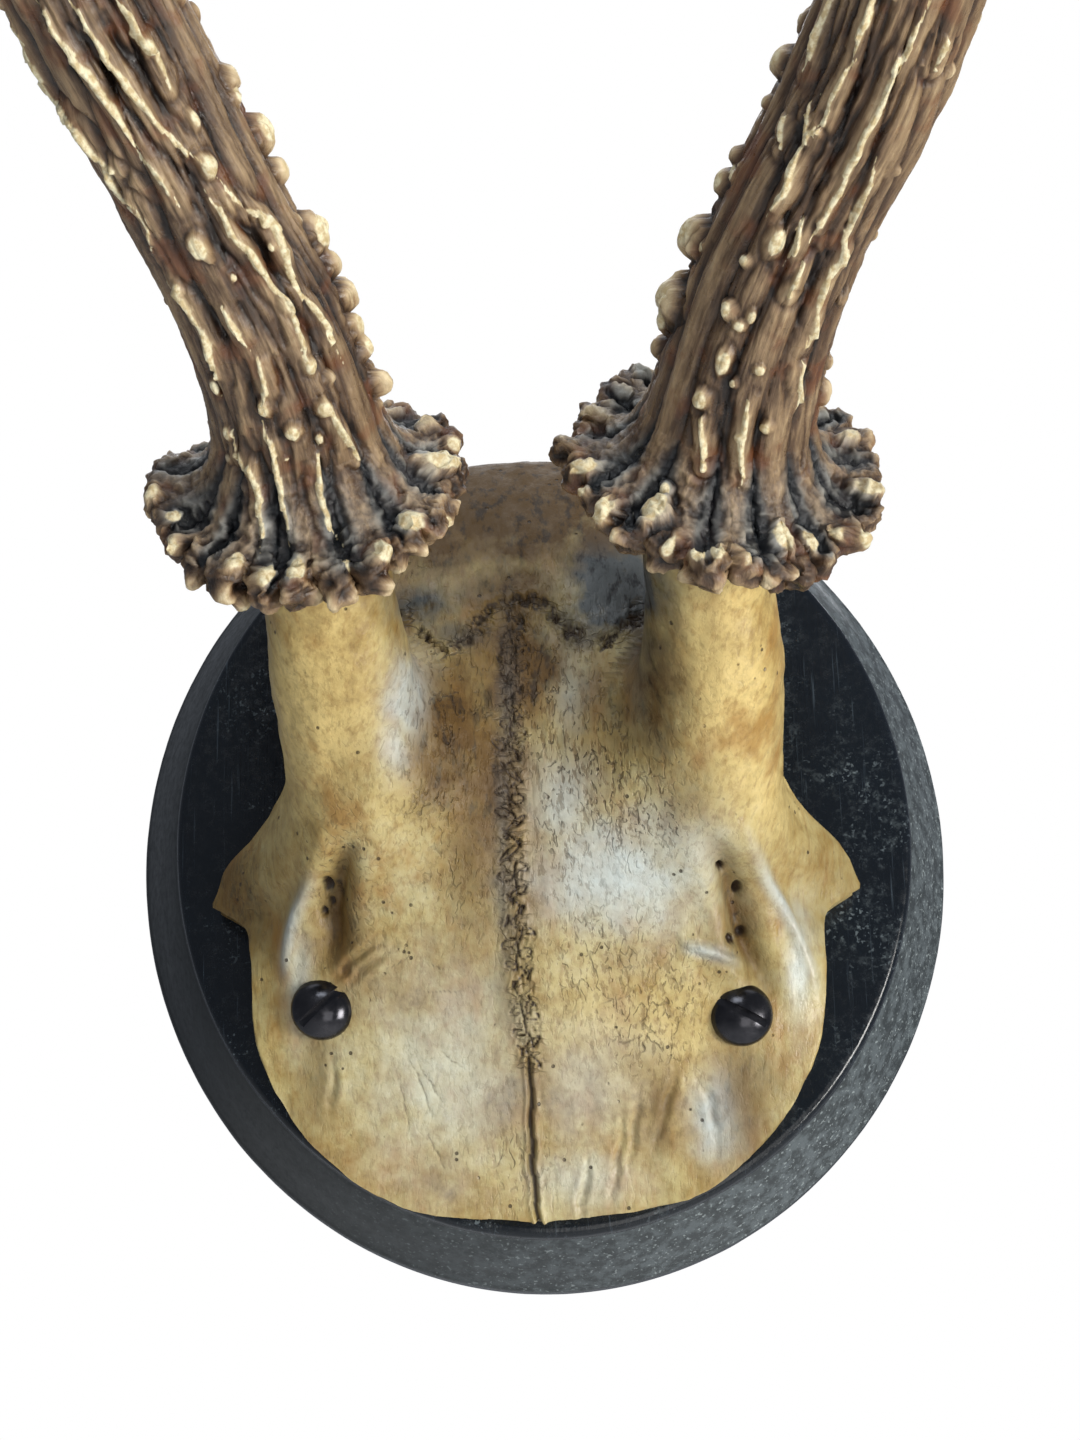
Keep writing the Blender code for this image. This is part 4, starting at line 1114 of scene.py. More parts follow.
def cap_skin():
    """The whole skull cap: fine near the midline suture, melted into the pedicles' feet, closed behind."""
    spread = np.linspace(0, 1, CAP_COLUMNS, endpoint=False)
    angles = 2 * np.pi * spread
    angles = angles + 0.3 * np.sin(2 * angles)
    rings = np.linspace(0, 1, CAP_ROWS)
    rings = rings + 0.12 * np.sin(np.pi * rings) * rings
    rings = rings / rings[-1]
    reach, rim_depth = cap_reach(angles)
    x = rings[:, None] * reach * np.cos(angles)
    z = CAP_CENTRE_HEIGHT + rings[:, None] * reach * np.sin(angles)
    depth, _ = cap_depth(x, z)
    top = np.stack([x + CAP_SHIFT[0], -depth, z + CAP_SHIFT[1]], -1)
    for antler in ANTLERS.values():
        axis, radii = pedicle_axis(antler)
        foot = np.array(antler["foot"]) * MM
        near = np.hypot(top[..., 0] - foot[0], top[..., 2] - foot[2] + 4 * MM) < 24 * MM
        near &= (rings < 0.985)[:, None]
        start = top[near]
        way = np.broadcast_to((0, -1.0, 0), start.shape)
        move = first_way_out(start, way, axis, radii, 7 * MM)
        move = np.where(np.isnan(move), 0, move)
        moved = start + way * move[:, None]
        skull, stalk, _ = bone_gap(moved, axis, radii)
        moved[:, 1] += dive(skull, stalk)
        top[near] = moved
    lip = np.linspace(0, 1, 12)[1:]
    wall = []
    for share in lip:
        inset = 0.35 * MM * math.sin(math.pi * share) + 0.5 * MM * share
        edge = top[-1].copy()
        centre = np.array((CAP_SHIFT[0], 0, CAP_CENTRE_HEIGHT + CAP_SHIFT[1]))
        inward = unit((centre - edge) * (1, 0, 1))
        edge = edge + inward * inset
        edge[:, 1] = top[-1, :, 1] * (1 - share) - SKULL_BACK * share
        wall.append(edge)
    back = np.broadcast_to((CAP_SHIFT[0], -SKULL_BACK, CAP_CENTRE_HEIGHT + CAP_SHIFT[1]), top[-1].shape)
    points = np.concatenate([top, np.array(wall), back[None]])
    return Skin(points, BONE_MARKS)


def wander(path, width, period, seed):
    """A suture's line: it swings from side to side of a path in uneven loops, in pixels."""
    dense = smooth_curve(path, 60)
    length = lengths(dense)
    even = np.linspace(0, length[-1], int(length[-1] / 1.1))
    centre = read_at(even, length, dense)
    heading = unit(np.gradient(centre, axis=0))
    across = np.stack([-heading[:, 1], heading[:, 0]], 1)
    line = np.stack([even / 31, np.zeros_like(even), np.zeros_like(even)], 1)
    phase = 2 * np.pi * even / period + 2.2 * noise(line * 1.7, seed)
    swing = width * (0.62 + 0.5 * noise(line, seed + 1))
    offset = swing * np.sin(phase) + 0.25 * width * np.sin(2.7 * phase + 1)
    push = 0.34 * period * np.sin(2 * phase)
    return centre + across * offset[:, None] + heading * push[:, None]


def skull_path(pixels):
    """Where pixel places lie on the plain skull: each sight line meets its surface."""
    right, up, forward = camera_axes()
    pixels = np.asarray(pixels, float)
    sight = (
        forward
        + right * ((pixels[:, :1] - PICTURE_WIDTH / 2) / FOCAL_PIXELS)
        - up * ((pixels[:, 1:2] - PICTURE_HEIGHT / 2) / FOCAL_PIXELS)
    )
    depth = np.full(len(pixels), 34 * MM)
    for _ in range(12):
        reach = (-depth - CAMERA_PLACE[1]) / sight[:, 1]
        points = CAMERA_PLACE + sight * reach[:, None]
        found, _ = cap_depth(points[:, 0] - CAP_SHIFT[0], points[:, 2] - CAP_SHIFT[1])
        depth = 0.5 * depth + 0.5 * found
    return points


def carve(skin, path, depth, width, mark, strength, lips=0.0, taper=0.0):
    """Carves a groove, or raises a ridge with a depth below 0, along a path on the skull."""
    away, share = distance_to_path(skin.points * FLATTENED, path * FLATTENED)
    ends = 1 - taper * np.abs(2 * share - 1) ** 2
    groove = np.exp(-((away / width) ** 2)) * ends
    lip = np.exp(-(((away - 2 * width) / width) ** 2)) * ends
    skin.points = skin.points + skin.normals_kept * (lips * lip - depth * groove)[..., None]
    skin.raise_mark(mark, strength * groove)


def mark_stains(skin):
    """Stains and painted shade, soot, rough parts, painted glare and partly painted warm light, each a soft
    oval as the camera sees it.
    """
    pixels, _ = in_picture(skin.points)
    ragged = 0.3 * layered(skin.points / (4 * MM), 61, 4)
    for name, spots in BONE_SPOTS.items():
        for x, y, wide, high, strength in spots:
            away = np.hypot((pixels[..., 0] - x) / wide, (pixels[..., 1] - y) / high) + ragged
            skin.raise_mark(name, np.minimum(strength * np.exp(-np.maximum(away, 0) ** 2), 1))


def mark_suture(skin, path, width):
    """Marks the strip along a suture in which the finish draws small loops."""
    away, _ = distance_to_path(skin.points * FLATTENED, path * FLATTENED)
    skin.raise_mark("suture", np.exp(-((away / width) ** 4)))


def mark_skull(skin):
    """Sutures, cracks, vessel grooves, ridges and stains of the skull cap, with painted shade in its
    troughs, foramina and grooves and painted highlights along its ridges.
    """
    skin.normals_kept = skin.normals()
    skin.normals_kept[..., 1] = np.where(skin.normals_kept[..., 1] > 0, 0, skin.normals_kept[..., 1])
    skin.points = bone_grain(skin.points, skin.normals_kept)
    behind = skin.points[..., 1] > -SKULL_BACK
    skin.points[..., 1] = np.where(behind, -SKULL_BACK, skin.points[..., 1])
    # The supraorbital troughs, darkened with painted shade.
    for hollow in SKULL_HOLLOWS:
        carve(skin, skull_path(smooth_curve(hollow, 6)), 2.2 * MM, 1.7 * MM, "stain_and_shade", 0.95, 0.5 * MM, 0.8)
    midline = skull_path(smooth_curve(MIDLINE_SUTURE, 12))
    carve(skin, midline, -0.2 * MM, 3 * MM, "stain_and_shade", 0.35)
    mark_suture(skin, midline, 2.0 * MM)
    for width, period, seed, strength in ((17, 22, 3, 0.85), (11, 17, 8, 0.35)):
        path = skull_path(wander(MIDLINE_SUTURE, width, period, seed))
        carve(skin, path, 0.24 * MM, 0.18 * MM, "groove", strength, 0.1 * MM)
    path = skull_path(wander(MIDLINE_CRACK, 2.5, 46, 12)[::4])
    carve(skin, path, 0.5 * MM, 0.3 * MM, "groove", 0.75, 0.25 * MM)
    mark_suture(skin, skull_path(smooth_curve(CORONAL_LINE, 12)), 1.5 * MM)
    for width, period, seed in ((11, 19, 31), (8, 14, 37)):
        path = skull_path(wander(CORONAL_LINE, width, period, seed))
        patchy = ramp(noise(skin.points / (3 * MM), seed), -0.35, 0.15)
        carve(skin, path, 0.36 * MM * patchy, 0.26 * MM, "groove", 0.8 * patchy, 0.1 * MM * patchy)
    for groove in SKULL_GROOVES:
        path = skull_path(wander(groove, 2, 30, 9)[::3])
        carve(skin, path, 0.45 * MM, 0.45 * MM, "groove", 0.4, 0.14 * MM, 1)
    for crack in SKULL_CRACKS:
        path = skull_path(wander(crack, 1.5, 22, 4)[::3])
        carve(skin, path, 0.12 * MM, 0.15 * MM, "groove", 0.55, 0, 1)
    # Foramina: deep pits, darkened with painted shade.
    for x, y, size in SKULL_FORAMINA:
        centre = skull_path([(x, y)])[0]
        away = np.linalg.norm((skin.points - centre) * FLATTENED, axis=-1)
        pit = np.exp(-((away / (size * 0.1 * MM)) ** 4))
        skin.points = skin.points - skin.normals_kept * (1.4 * MM * pit)[..., None]
        skin.raise_mark("groove", np.clip(1.8 * pit, 0, 1))
    # The brow ridges, with a painted highlight along them.
    for ridge in SKULL_RIDGES:
        carve(skin, skull_path(smooth_curve(ridge, 6)), -1.2 * MM, 1.0 * MM, "pale", 0.9, 0.1 * MM, 1)
    mark_stains(skin)


def cut_skull(piece, height, keep_above):
    """Parts a copy of the cap at the coronal suture and closes the cut."""
    bm = bmesh.new()
    bm.from_mesh(piece.data)
    cut = bmesh.ops.bisect_plane(
        bm,
        geom=bm.verts[:] + bm.edges[:] + bm.faces[:],
        dist=1e-8,
        plane_co=(0, 0, height),
        plane_no=(0, 0, 1),
        clear_inner=keep_above,
        clear_outer=not keep_above,
    )
    edges = [e for e in cut["geom_cut"] if isinstance(e, bmesh.types.BMEdge)]
    made = bmesh.ops.holes_fill(bm, edges=edges, sides=0)
    for face in made["faces"]:
        for edge in face.edges:
            edge.smooth = False
    bmesh.ops.triangulate(bm, faces=made["faces"])
    bm.to_mesh(piece.data)
    bm.free()


def build_skull():
    skin = cap_skin()
    mark_skull(skin)
    for name, above in (("frontal_bone", False), ("parietal_bone", True)):
        piece = skin_object("finished_" + name, skin)
        cut_skull(piece, CORONAL_SUTURE, above)
        place_piece(piece, material_of("bone"), "skull_bone", name)


def build_pedicle(side_name):
    """A pedicle whose foot flows out onto the skull and ends just under its surface."""
    antler = ANTLERS[side_name]
    axis, radii = pedicle_axis(antler)
    length = lengths(axis)
    even = np.linspace(4 * MM, length[-1] + 1.2 * MM, PEDICLE_ROWS)
    along = unit(np.gradient(axis, axis=0))
    over = np.maximum(even - length[-1], 0)[:, None]
    centres = read_at(even, length, axis) + along[-1] * over
    headings = unit(read_at(even, length, along))
    size = np.interp(even, length, radii)
    outward = outward_of(headings, antler["side"])
    facing = np.cross(headings, outward)
    angles = 2 * np.pi * np.arange(PEDICLE_COLUMNS) / PEDICLE_COLUMNS
    way = outward[:, None] * np.cos(angles)[None, :, None] + facing[:, None] * np.sin(angles)[None, :, None]
    inside = 1.5 * MM
    start = centres[:, None] + way * (size[:, None, None] - inside)
    reach = 8 * MM
    move = first_way_out(start, way, axis, radii, reach)
    buried = np.isnan(move)
    move = np.where(buried, reach, move)
    points = start + way * move[..., None]
    skull, stalk, _ = bone_gap(points, axis, radii)
    points = points - way * dive(stalk, skull)[..., None]
    skin = Skin(points, BONE_MARKS)
    skin.points = bone_grain(points, skin.normals())
    mark_stains(skin)
    skin = skin.rows(0, PEDICLE_ROWS)
    piece = skin_object("finished_pedicle_" + side_name, skin)
    place_piece(piece, material_of("bone"), "skull_bone", "pedicle_" + side_name)


def box_cutter(size, centre, turn=0.0):
    bm = bmesh.new()
    bmesh.ops.create_cube(bm, size=1)
    move = Matrix.Translation(Vector(centre)) @ Matrix.Rotation(turn, 4, "Y")
    bmesh.ops.transform(bm, matrix=move @ Matrix.Diagonal((*size, 1)), verts=bm.verts)
    return linked("cutter", mesh_of(bm, "cutter"))


def cut_with(piece, cutter):
    """Cuts a piece by a Boolean, applies it and removes the cutter."""
    boolean = piece.modifiers.new("cut", "BOOLEAN")
    boolean.operation = "DIFFERENCE"
    boolean.object = cutter
    boolean.solver = "EXACT"
    graph = bpy.context.evaluated_depsgraph_get()
    mesh = bpy.data.meshes.new_from_object(piece.evaluated_get(graph), depsgraph=graph)
    piece.modifiers.clear()
    piece.data = mesh
    bpy.data.objects.remove(cutter, do_unlink=True)


def turned_skin(profile, place, columns, oval=None):
    """A turned piece about an axis along Y. With `oval`, radii are insets from an oval's edge."""
    angles = 2 * np.pi * np.arange(columns) / columns
    profile = np.asarray(profile)
    if oval:
        across = np.maximum(oval[0] / 2 - profile[:, :1], 0) * np.cos(angles)
        up = np.maximum(oval[1] / 2 - profile[:, :1], 0) * np.sin(angles)
    else:
        across = profile[:, :1] * np.cos(angles)
        up = profile[:, :1] * np.sin(angles)
    depth = np.broadcast_to(profile[:, 1:2], across.shape)
    return np.stack([place[0] + across, -depth, place[1] + up], -1)


def build_plaque():
    """The oval board: edge, bevel with dust and painted light that grow towards the right and bottom,
    rounded inner line, worn face, and the hanger's recess behind.
    """
    thick = PLAQUE_THICKNESS / MM
    outline = smooth_curve(
        ((1.0, 0), (0.35, 0.06), (0.06, 0.35), (0, 0.9), (0, 2.0), (0.02, 2.8), (0.2, 3.5), (0.6, 4.1)), 4
    )
    bevel = smooth_curve(((0.6, 4.1), (1.8, 6.4), (3.0, 8.9), (4.3, 11.4), (5.5, 13.6), (5.95, 14.35)), 6)
    bead = smooth_curve(((6.02, 14.5), (6.1, 15.0), (6.3, 15.5), (6.7, 15.85), (7.3, thick)), 6)
    face = np.stack([np.linspace(7.5, 60, 60), np.full(60, thick)], 1)
    back = np.stack([np.linspace(60, 1.2, 24), np.zeros(24)], 1)
    profile = np.vstack([back, outline, bevel[1:], bead, face]) * MM
    points = turned_skin(profile, (0, 0), 320, (PLAQUE_WIDTH, PLAQUE_HEIGHT))
    depth = np.broadcast_to(profile[:, 1:2], points.shape[:2])
    skin = Skin(points, ("dust", "bevel"))
    normals = skin.normals()
    place = points / MM
    # The dust mark grows towards the right and the bottom: partly dust, partly painted light where the
    # board faces the light from the right.
    skin.raise_mark("dust", ramp(place[..., 0] - 0.2 * place[..., 2], -36, 44))
    wear = noise(place / (5, 5, 9), 70)
    front = depth > 1 * MM
    dents = np.where(front, 0.05 * wear + 0.02 * noise(place / 1.4, 71), 0)
    skin.points = points + normals * dents[..., None] * MM
    on_bevel = (profile[:, 1] > 3.4 * MM) & (profile[:, 1] < 14.4 * MM)
    skin.raise_mark("bevel", np.broadcast_to(on_bevel[:, None], points.shape[:2]).astype(float))
    piece = skin_object("finished_plaque", skin)
    cut_with(piece, box_cutter((HANGER_WIDTH, 2 * HANGER_RECESS, HANGER_LENGTH), (0, 0, HANGER_HEIGHT)))
    pocket = (NAIL_POCKET_WIDTH, 2 * NAIL_POCKET_DEPTH, NAIL_POCKET_LENGTH)
    cut_with(piece, box_cutter(pocket, (0, 0, HANGER_HEIGHT)))
    shade(piece.data, 40)
    place_piece(piece, material_of("ebony"), "ebonised_wood", "plaque")


def screw_seat(place):
    """The depth of the flat under a screw's head, a little below the skull's surface there."""
    depth, _ = cap_depth(np.array([place[0] * MM - CAP_SHIFT[0]]), np.array([place[1] * MM - CAP_SHIFT[1]]))
    return float(depth[0]) - SEAT_DEPTH


def build_screw(side_name):
    """A round-head screw: domed, with a square slot and slightly worn edges."""
    x, z, turn = SCREWS[side_name]
    seat = screw_seat((x, z)) + SEAT_GAP
    arc = np.radians(np.linspace(0, 90, 30))
    rise = seat + HEAD_EDGE + (HEAD_HEIGHT - HEAD_EDGE) * np.sin(arc)
    dome = np.stack([HEAD_RADIUS * np.cos(arc), rise], 1)
    shank = np.array([(0, 5), (1.2, 5.4), (2.0, 6.4)]) * MM
    under = np.array([(2.0 * MM, seat), (HEAD_RADIUS - 0.15 * MM, seat), (HEAD_RADIUS, seat + 0.15 * MM)])
    profile = np.vstack([shank, under, dome])
    points = turned_skin(profile, (x * MM, z * MM), 120)
    piece = skin_object("finished_screw_" + side_name, Skin(points))
    slot = (3 * HEAD_RADIUS, 2 * SLOT_DEPTH, SLOT_WIDTH)
    cut_with(piece, box_cutter(slot, (x * MM, -seat - HEAD_HEIGHT, z * MM), math.radians(-turn)))
    bevel = piece.modifiers.new("worn edges", "BEVEL")
    bevel.width = WORN_EDGE
    bevel.segments = 2
    bevel.limit_method = "ANGLE"
    bevel.angle_limit = math.radians(40)
    shade(piece.data, 35)
    place_piece(piece, material_of("steel"), "dark_steel", "screw_" + side_name)


def build_hanger():
    """The brass plate keeps its own solid and gets its finish, with two countersunk screws."""
    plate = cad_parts["hanger_plate"]
    plate.data.materials.clear()
    plate.data.materials.append(material_of("brass"))
    for name, height in (("top", 14), ("bottom", -14)):
        arc = np.linspace(0, 1, 8)
        head = np.stack([2.3 * MM * arc, -0.25 * MM * (1 - arc**2)], 1)
        cone = np.array([(2.3, 0.05), (1.1, 1.3), (0.9, 6), (0, 6.6)]) * MM
        points = turned_skin(np.vstack([head, cone]), (0, HANGER_HEIGHT + height * MM), 48)
        points[..., 1] = np.minimum(points[..., 1], 0)
        piece = skin_object("hanger_screw_" + name, Skin(points))
        place_piece(piece, material_of("brass"), "hanger_brass")


class Nodes:
    """Short calls for the shader nodes of one material."""

    def __init__(self, name):
        self.material = bpy.data.materials.new(name)
        self.material.use_nodes = True
        self.tree = self.material.node_tree
        self.shader = self.tree.nodes["Principled BSDF"]

    def add(self, kind, inputs=None, **settings):
        node = self.tree.nodes.new(kind)
        for name, value in settings.items():
            setattr(node, name, value)
        for socket, value in (inputs or {}).items():
            self.feed(node.inputs[socket], value)
        return node

    def feed(self, socket, value):
        """Links an output to a socket, or sets it to a value or a named tone."""
        if isinstance(value, str):
            value = tone(value)
        if hasattr(value, "is_output"):
            self.tree.links.new(value, socket)
        else:
            socket.default_value = value

    def object_place(self):
        return self.add("ShaderNodeTexCoord").outputs["Object"]

    def mark(self, name):
        return self.add("ShaderNodeAttribute", attribute_name=name).outputs["Fac"]

    def straight(self):
        return self.add("ShaderNodeAttribute", attribute_name="straight").outputs["Vector"]

    def stretched(self, place, scale):
        return self.add("ShaderNodeMapping", {"Vector": place, "Scale": scale}).outputs["Vector"]

    def noise(self, place, scale, detail=3.0, rough=0.5):
        inputs = {"Vector": place, "Scale": scale, "Detail": detail, "Roughness": rough}
        return self.add("ShaderNodeTexNoise", inputs).outputs["Fac"]

    def cells(self, place, scale):
        return self.add("ShaderNodeTexVoronoi", {"Vector": place, "Scale": scale}).outputs["Distance"]

    def between(self, value, low, high, out_low=0.0, out_high=1.0):
        node = self.add(
            "ShaderNodeMapRange",
            {"Value": value, "From Min": low, "From Max": high, "To Min": out_low, "To Max": out_high},
            interpolation_type="SMOOTHSTEP",
        )
        return node.outputs["Result"]

    def math(self, operation, *values):
        return self.add("ShaderNodeMath", dict(enumerate(values)), operation=operation).outputs[0]

    def times(self, first, second):
        return self.math("MULTIPLY", first, second)

    def plus(self, first, second):
        return self.math("ADD", first, second)

    def minus(self, first, second):
        return self.math("SUBTRACT", first, second)

    def most(self, first, second):
        return self.math("MAXIMUM", first, second)

    def times_plus(self, first, second, third):
        return self.math("MULTIPLY_ADD", first, second, third)

    def mix(self, share, first, second, blend="MIX"):
        node = self.add("ShaderNodeMix", {"Factor": share}, data_type="RGBA", blend_type=blend)
        self.feed(node.inputs[6], first)
        self.feed(node.inputs[7], second)
        return node.outputs[2]

    def ramp(self, value, stops):
        node = self.add("ShaderNodeValToRGB", {"Fac": value})
        marks = node.color_ramp.elements
        while len(marks) < len(stops):
            marks.new(0.5)
        for element, (place, colour) in zip(marks, stops):
            element.position = place
            element.color = tone(colour)
        return node.outputs["Color"]

    def finish(self, colour, rough, height=None, depth=0.2 * MM, **fixed):
        self.feed(self.shader.inputs["Base Color"], colour)
        self.feed(self.shader.inputs["Roughness"], rough)
        for name, value in fixed.items():
            self.shader.inputs[name.replace("_", " ")].default_value = value
        if height is not None:
            bump = self.add("ShaderNodeBump", {"Height": height, "Distance": depth, "Strength": 1.0})
            self.feed(self.shader.inputs["Normal"], bump.outputs["Normal"])
        return self.material


def tone(name):
    """A named colour: a fixed tone, or else the one that the panel holds."""
    return (*(TONES.get(name) or getattr(bpy.context.scene.trophy_colours, name)), 1)


def antler_material():
    """Brown antler: dark furrows, tan crests with thin cream lines, ivory where it is worn, and painted
    shade in the burr's dished flare.
    """
    nodes = Nodes("antler")
    straight = nodes.straight()
    place = nodes.object_place()
    streaks = nodes.noise(nodes.stretched(straight, (1700, 1700, 150)), 1.0, 6, 0.7)
    patches = nodes.noise(place, 120, 3)
    speckle = nodes.noise(place, 1300, 3, 0.6)
    red = nodes.noise(place, 230, 2)
    crest = nodes.mark("crest")
    ivory = nodes.mark("ivory")
    hollow = nodes.mark("hollow")
    tone = nodes.times_plus(crest, 0.72, nodes.times(streaks, 0.7))
    tone = nodes.times_plus(patches, 0.45, nodes.minus(tone, 0.52))
    body = nodes.ramp(
        tone,
        (
            (0.14, "antler_dark"),
            (0.36, "antler_brown"),
            (0.6, "antler_tan"),
            (0.84, "antler_cream"),
        ),
    )
    amber = nodes.times(nodes.between(red, 0.52, 0.7), 0.55)
    body = nodes.mix(amber, body, "amber")
    # Painted shade over the burr's dished flare: bluish black in its furrows, grey on its crests.
    shade = nodes.mix(nodes.between(crest, 0.35, 0.9), "burr_shade", "burr_grey")
    body = nodes.mix(nodes.times(nodes.between(hollow, 0.1, 0.6), 0.92), body, shade)
    pale = nodes.mix(nodes.between(speckle, 0.35, 0.65), "ivory_tan", "ivory_pale")
    uneven = nodes.times(nodes.minus(streaks, 0.5), 0.6)
    edge = nodes.plus(nodes.times_plus(crest, 0.45, ivory), uneven)
    colour = nodes.mix(nodes.between(edge, 0.62, 1.12), body, pale)
    rough = nodes.between(nodes.noise(place, 420, 3), 0.3, 0.7, 0.22, 0.46)
    height = nodes.plus(nodes.times(streaks, 0.75), nodes.times(speckle, 0.25))
    return nodes.finish(colour, rough, height, 0.35 * MM)


def thin_lines(nodes, place, scale, width):
    """Fine winding lines, 1 on a line and 0 beside it."""
    off = nodes.math("ABSOLUTE", nodes.minus(nodes.noise(place, scale, 1.5, 0.5), 0.5))
    return nodes.between(off, width, width * 0.25)


def bone_material():
    """Dry bone: ochre in soft patches and upright fibres, with stippled, pitted and stained parts, painted
    glare, partly painted warm light, and painted shade in some stains and in its pits, pores, grooves and
    cracks.
    """
    nodes = Nodes("bone")
    place = nodes.object_place()
    wide = nodes.noise(place, 60, 5, 0.65)
    fine = nodes.noise(place, 420, 5, 0.7)
    upright = nodes.stretched(place, (1, 1, 0.34))
    rough_part = nodes.mark("rough")
    stipple = nodes.between(nodes.noise(upright, 1500, 3, 0.6), 0.5, 0.64)
    flecks = nodes.between(nodes.noise(upright, 700, 3, 0.65), 0.5, 0.66)
    fibres = nodes.noise(nodes.stretched(place, (1, 1, 0.1)), 900, 4, 0.65)
    warm = nodes.noise(nodes.stretched(place, (1, 1, 0.4)), 130, 4, 0.65)
    stain_and_shade = nodes.mark("stain_and_shade")
    broken = nodes.between(nodes.noise(place, 1000, 2), 0.46, 0.54)
    worms = nodes.times(thin_lines(nodes, upright, 760, 0.05), broken)
    crowd = nodes.times(nodes.plus(rough_part, 0.1), nodes.between(wide, 0.36, 0.5))
    pits = nodes.times(worms, crowd)
    pores = nodes.between(nodes.cells(place, 560), 0.17, 0.09)
    pores = nodes.times(pores, nodes.between(nodes.noise(place, 240, 2), 0.55, 0.62))
    loops = thin_lines(nodes, nodes.stretched(place, (0.6, 1, 1.3)), 560, 0.06)
    curls = nodes.times(loops, nodes.mark("suture"))
    tone = nodes.times_plus(wide, 0.65, nodes.times(fine, 0.35))
    body = nodes.ramp(
        tone,
        (
            (0.34, "bone_brown"),
            (0.44, "bone_ochre"),
            (0.54, "bone_cream"),
            (0.68, "bone_pale"),
        ),
    )
    # Warm yellow patches: partly the pedicles' own yellow, partly painted light on their lit fronts.
    bright = nodes.times(nodes.mark("warm"), nodes.between(tone, 0.36, 0.58, 0.35, 0.85))
    body = nodes.mix(bright, body, "bone_yellow")
    orange = nodes.times(nodes.between(warm, 0.5, 0.7), 0.7)
    body = nodes.mix(orange, body, "bone_orange")
    streaked = nodes.times(nodes.between(fibres, 0.5, 0.68), 0.42)
    body = nodes.mix(streaked, body, "bone_fibre")
    spotted = nodes.times(stipple, nodes.times_plus(rough_part, 0.5, 0.2))
    body = nodes.mix(spotted, body, "bone_speck")
    uneven = nodes.plus(fine, 0.55)
    # Painted glare: cool white patches where the bone catches a highlight, and along the brow ridges, with
    # the stipple showing through.
    pale = nodes.times(nodes.mark("pale"), uneven)
    painted_glare = nodes.mix(spotted, "glare_white", "white_speck")
    body = nodes.mix(nodes.times(pale, 0.75), body, painted_glare)
    # Stains, among them painted shade on the orbital tip and the pedicles' darker sides.
    brown = nodes.mix(flecks, "stain_and_shade", "stain_and_shade_fleck")
    body = nodes.mix(nodes.math("MINIMUM", nodes.times(stain_and_shade, uneven), 1.0), body, brown)
    sooty = nodes.mix(flecks, "soot", "soot_fleck")
    body = nodes.mix(nodes.math("MINIMUM", nodes.times(nodes.mark("soot"), uneven), 1.0), body, sooty)
    # Painted shade: pits, pores, suture loops, grooves, cracks and foramina are darkened as if shade fell
    # in them.
    sunk = nodes.most(nodes.times(pits, 0.5), nodes.times(pores, 0.8))
    sunk = nodes.most(sunk, nodes.times(curls, 0.4))
    sunk = nodes.most(sunk, nodes.between(nodes.mark("groove"), 0.15, 0.85))
    colour = nodes.mix(sunk, body, "sunk_shade")
    rough = nodes.times_plus(stain_and_shade, 0.2, nodes.between(fine, 0.3, 0.7, 0.28, 0.5))
    height = nodes.times_plus(spotted, -0.5, nodes.times(fine, 0.5))
    height = nodes.times_plus(fibres, 0.5, height)
    height = nodes.minus(height, nodes.most(pits, nodes.most(pores, curls)))
    return nodes.finish(colour, rough, height, 0.18 * MM, Specular_IOR_Level=0.36)


def ebony_material():
    nodes = Nodes("ebony")
    place = nodes.object_place()
    upright = nodes.noise(nodes.stretched(place, (2200, 300, 70)), 1.0, 3, 0.6)
    cloud = nodes.noise(place, 60, 4, 0.6)
    dust = nodes.noise(place, 900, 3, 0.7)
    bevel = nodes.mark("bevel")
    scratch = nodes.between(upright, 0.62, 0.76)
    specks = nodes.between(nodes.noise(place, 1900, 2, 0.5), 0.6, 0.7)
    clouded = nodes.between(cloud, 0.45, 0.7)
    dusty = nodes.times(clouded, nodes.between(dust, 0.48, 0.72))
    # The dust mark: dust and painted light on the face and bevel, both stronger towards the right and the
    # bottom.
    dust_and_painted_light = nodes.mark("dust")
    body = nodes.mix(cloud, "ebony", "ebony_blue")
    body = nodes.mix(nodes.times(scratch, 0.5), body, "scratch")
    body = nodes.mix(nodes.times(dusty, nodes.times(dust_and_painted_light, 0.55)), body, "face_dust_and_light")
    body = nodes.mix(nodes.times(nodes.times(specks, clouded), 0.6), body, "face_speck")
    greyed = nodes.mix(cloud, "bevel_shade", "bevel_grey")
    patchy = nodes.between(nodes.noise(place, 520, 4, 0.7), 0.4, 0.62, 0.3, 0.95)
    # Pale dust patches and specks on the bevel, partly painted highlights.
    greyed = nodes.mix(nodes.times(patchy, dust_and_painted_light), greyed, "bevel_dust_and_light")
    greyed = nodes.mix(nodes.times(specks, nodes.times(dust_and_painted_light, 0.7)), greyed, "bevel_speck_and_highlight")
    colour = nodes.mix(nodes.times(bevel, 0.95), body, greyed)
    rough = nodes.plus(nodes.between(dust, 0.3, 0.8, 0.14, 0.34), nodes.times(bevel, 0.14))
    height = nodes.plus(nodes.times(upright, 0.6), nodes.times(dust, 0.4))
    return nodes.finish(colour, rough, height, 0.04 * MM, Specular_IOR_Level=0.35)


def steel_material():
    nodes = Nodes("dark steel")
    place = nodes.object_place()
    cloud = nodes.noise(place, 500, 4, 0.6)
    colour = nodes.mix(cloud, "steel_dark", "steel_worn")
    rough = nodes.between(cloud, 0.3, 0.8, 0.13, 0.34)
    return nodes.finish(colour, rough, cloud, 0.03 * MM, Metallic=0.85)


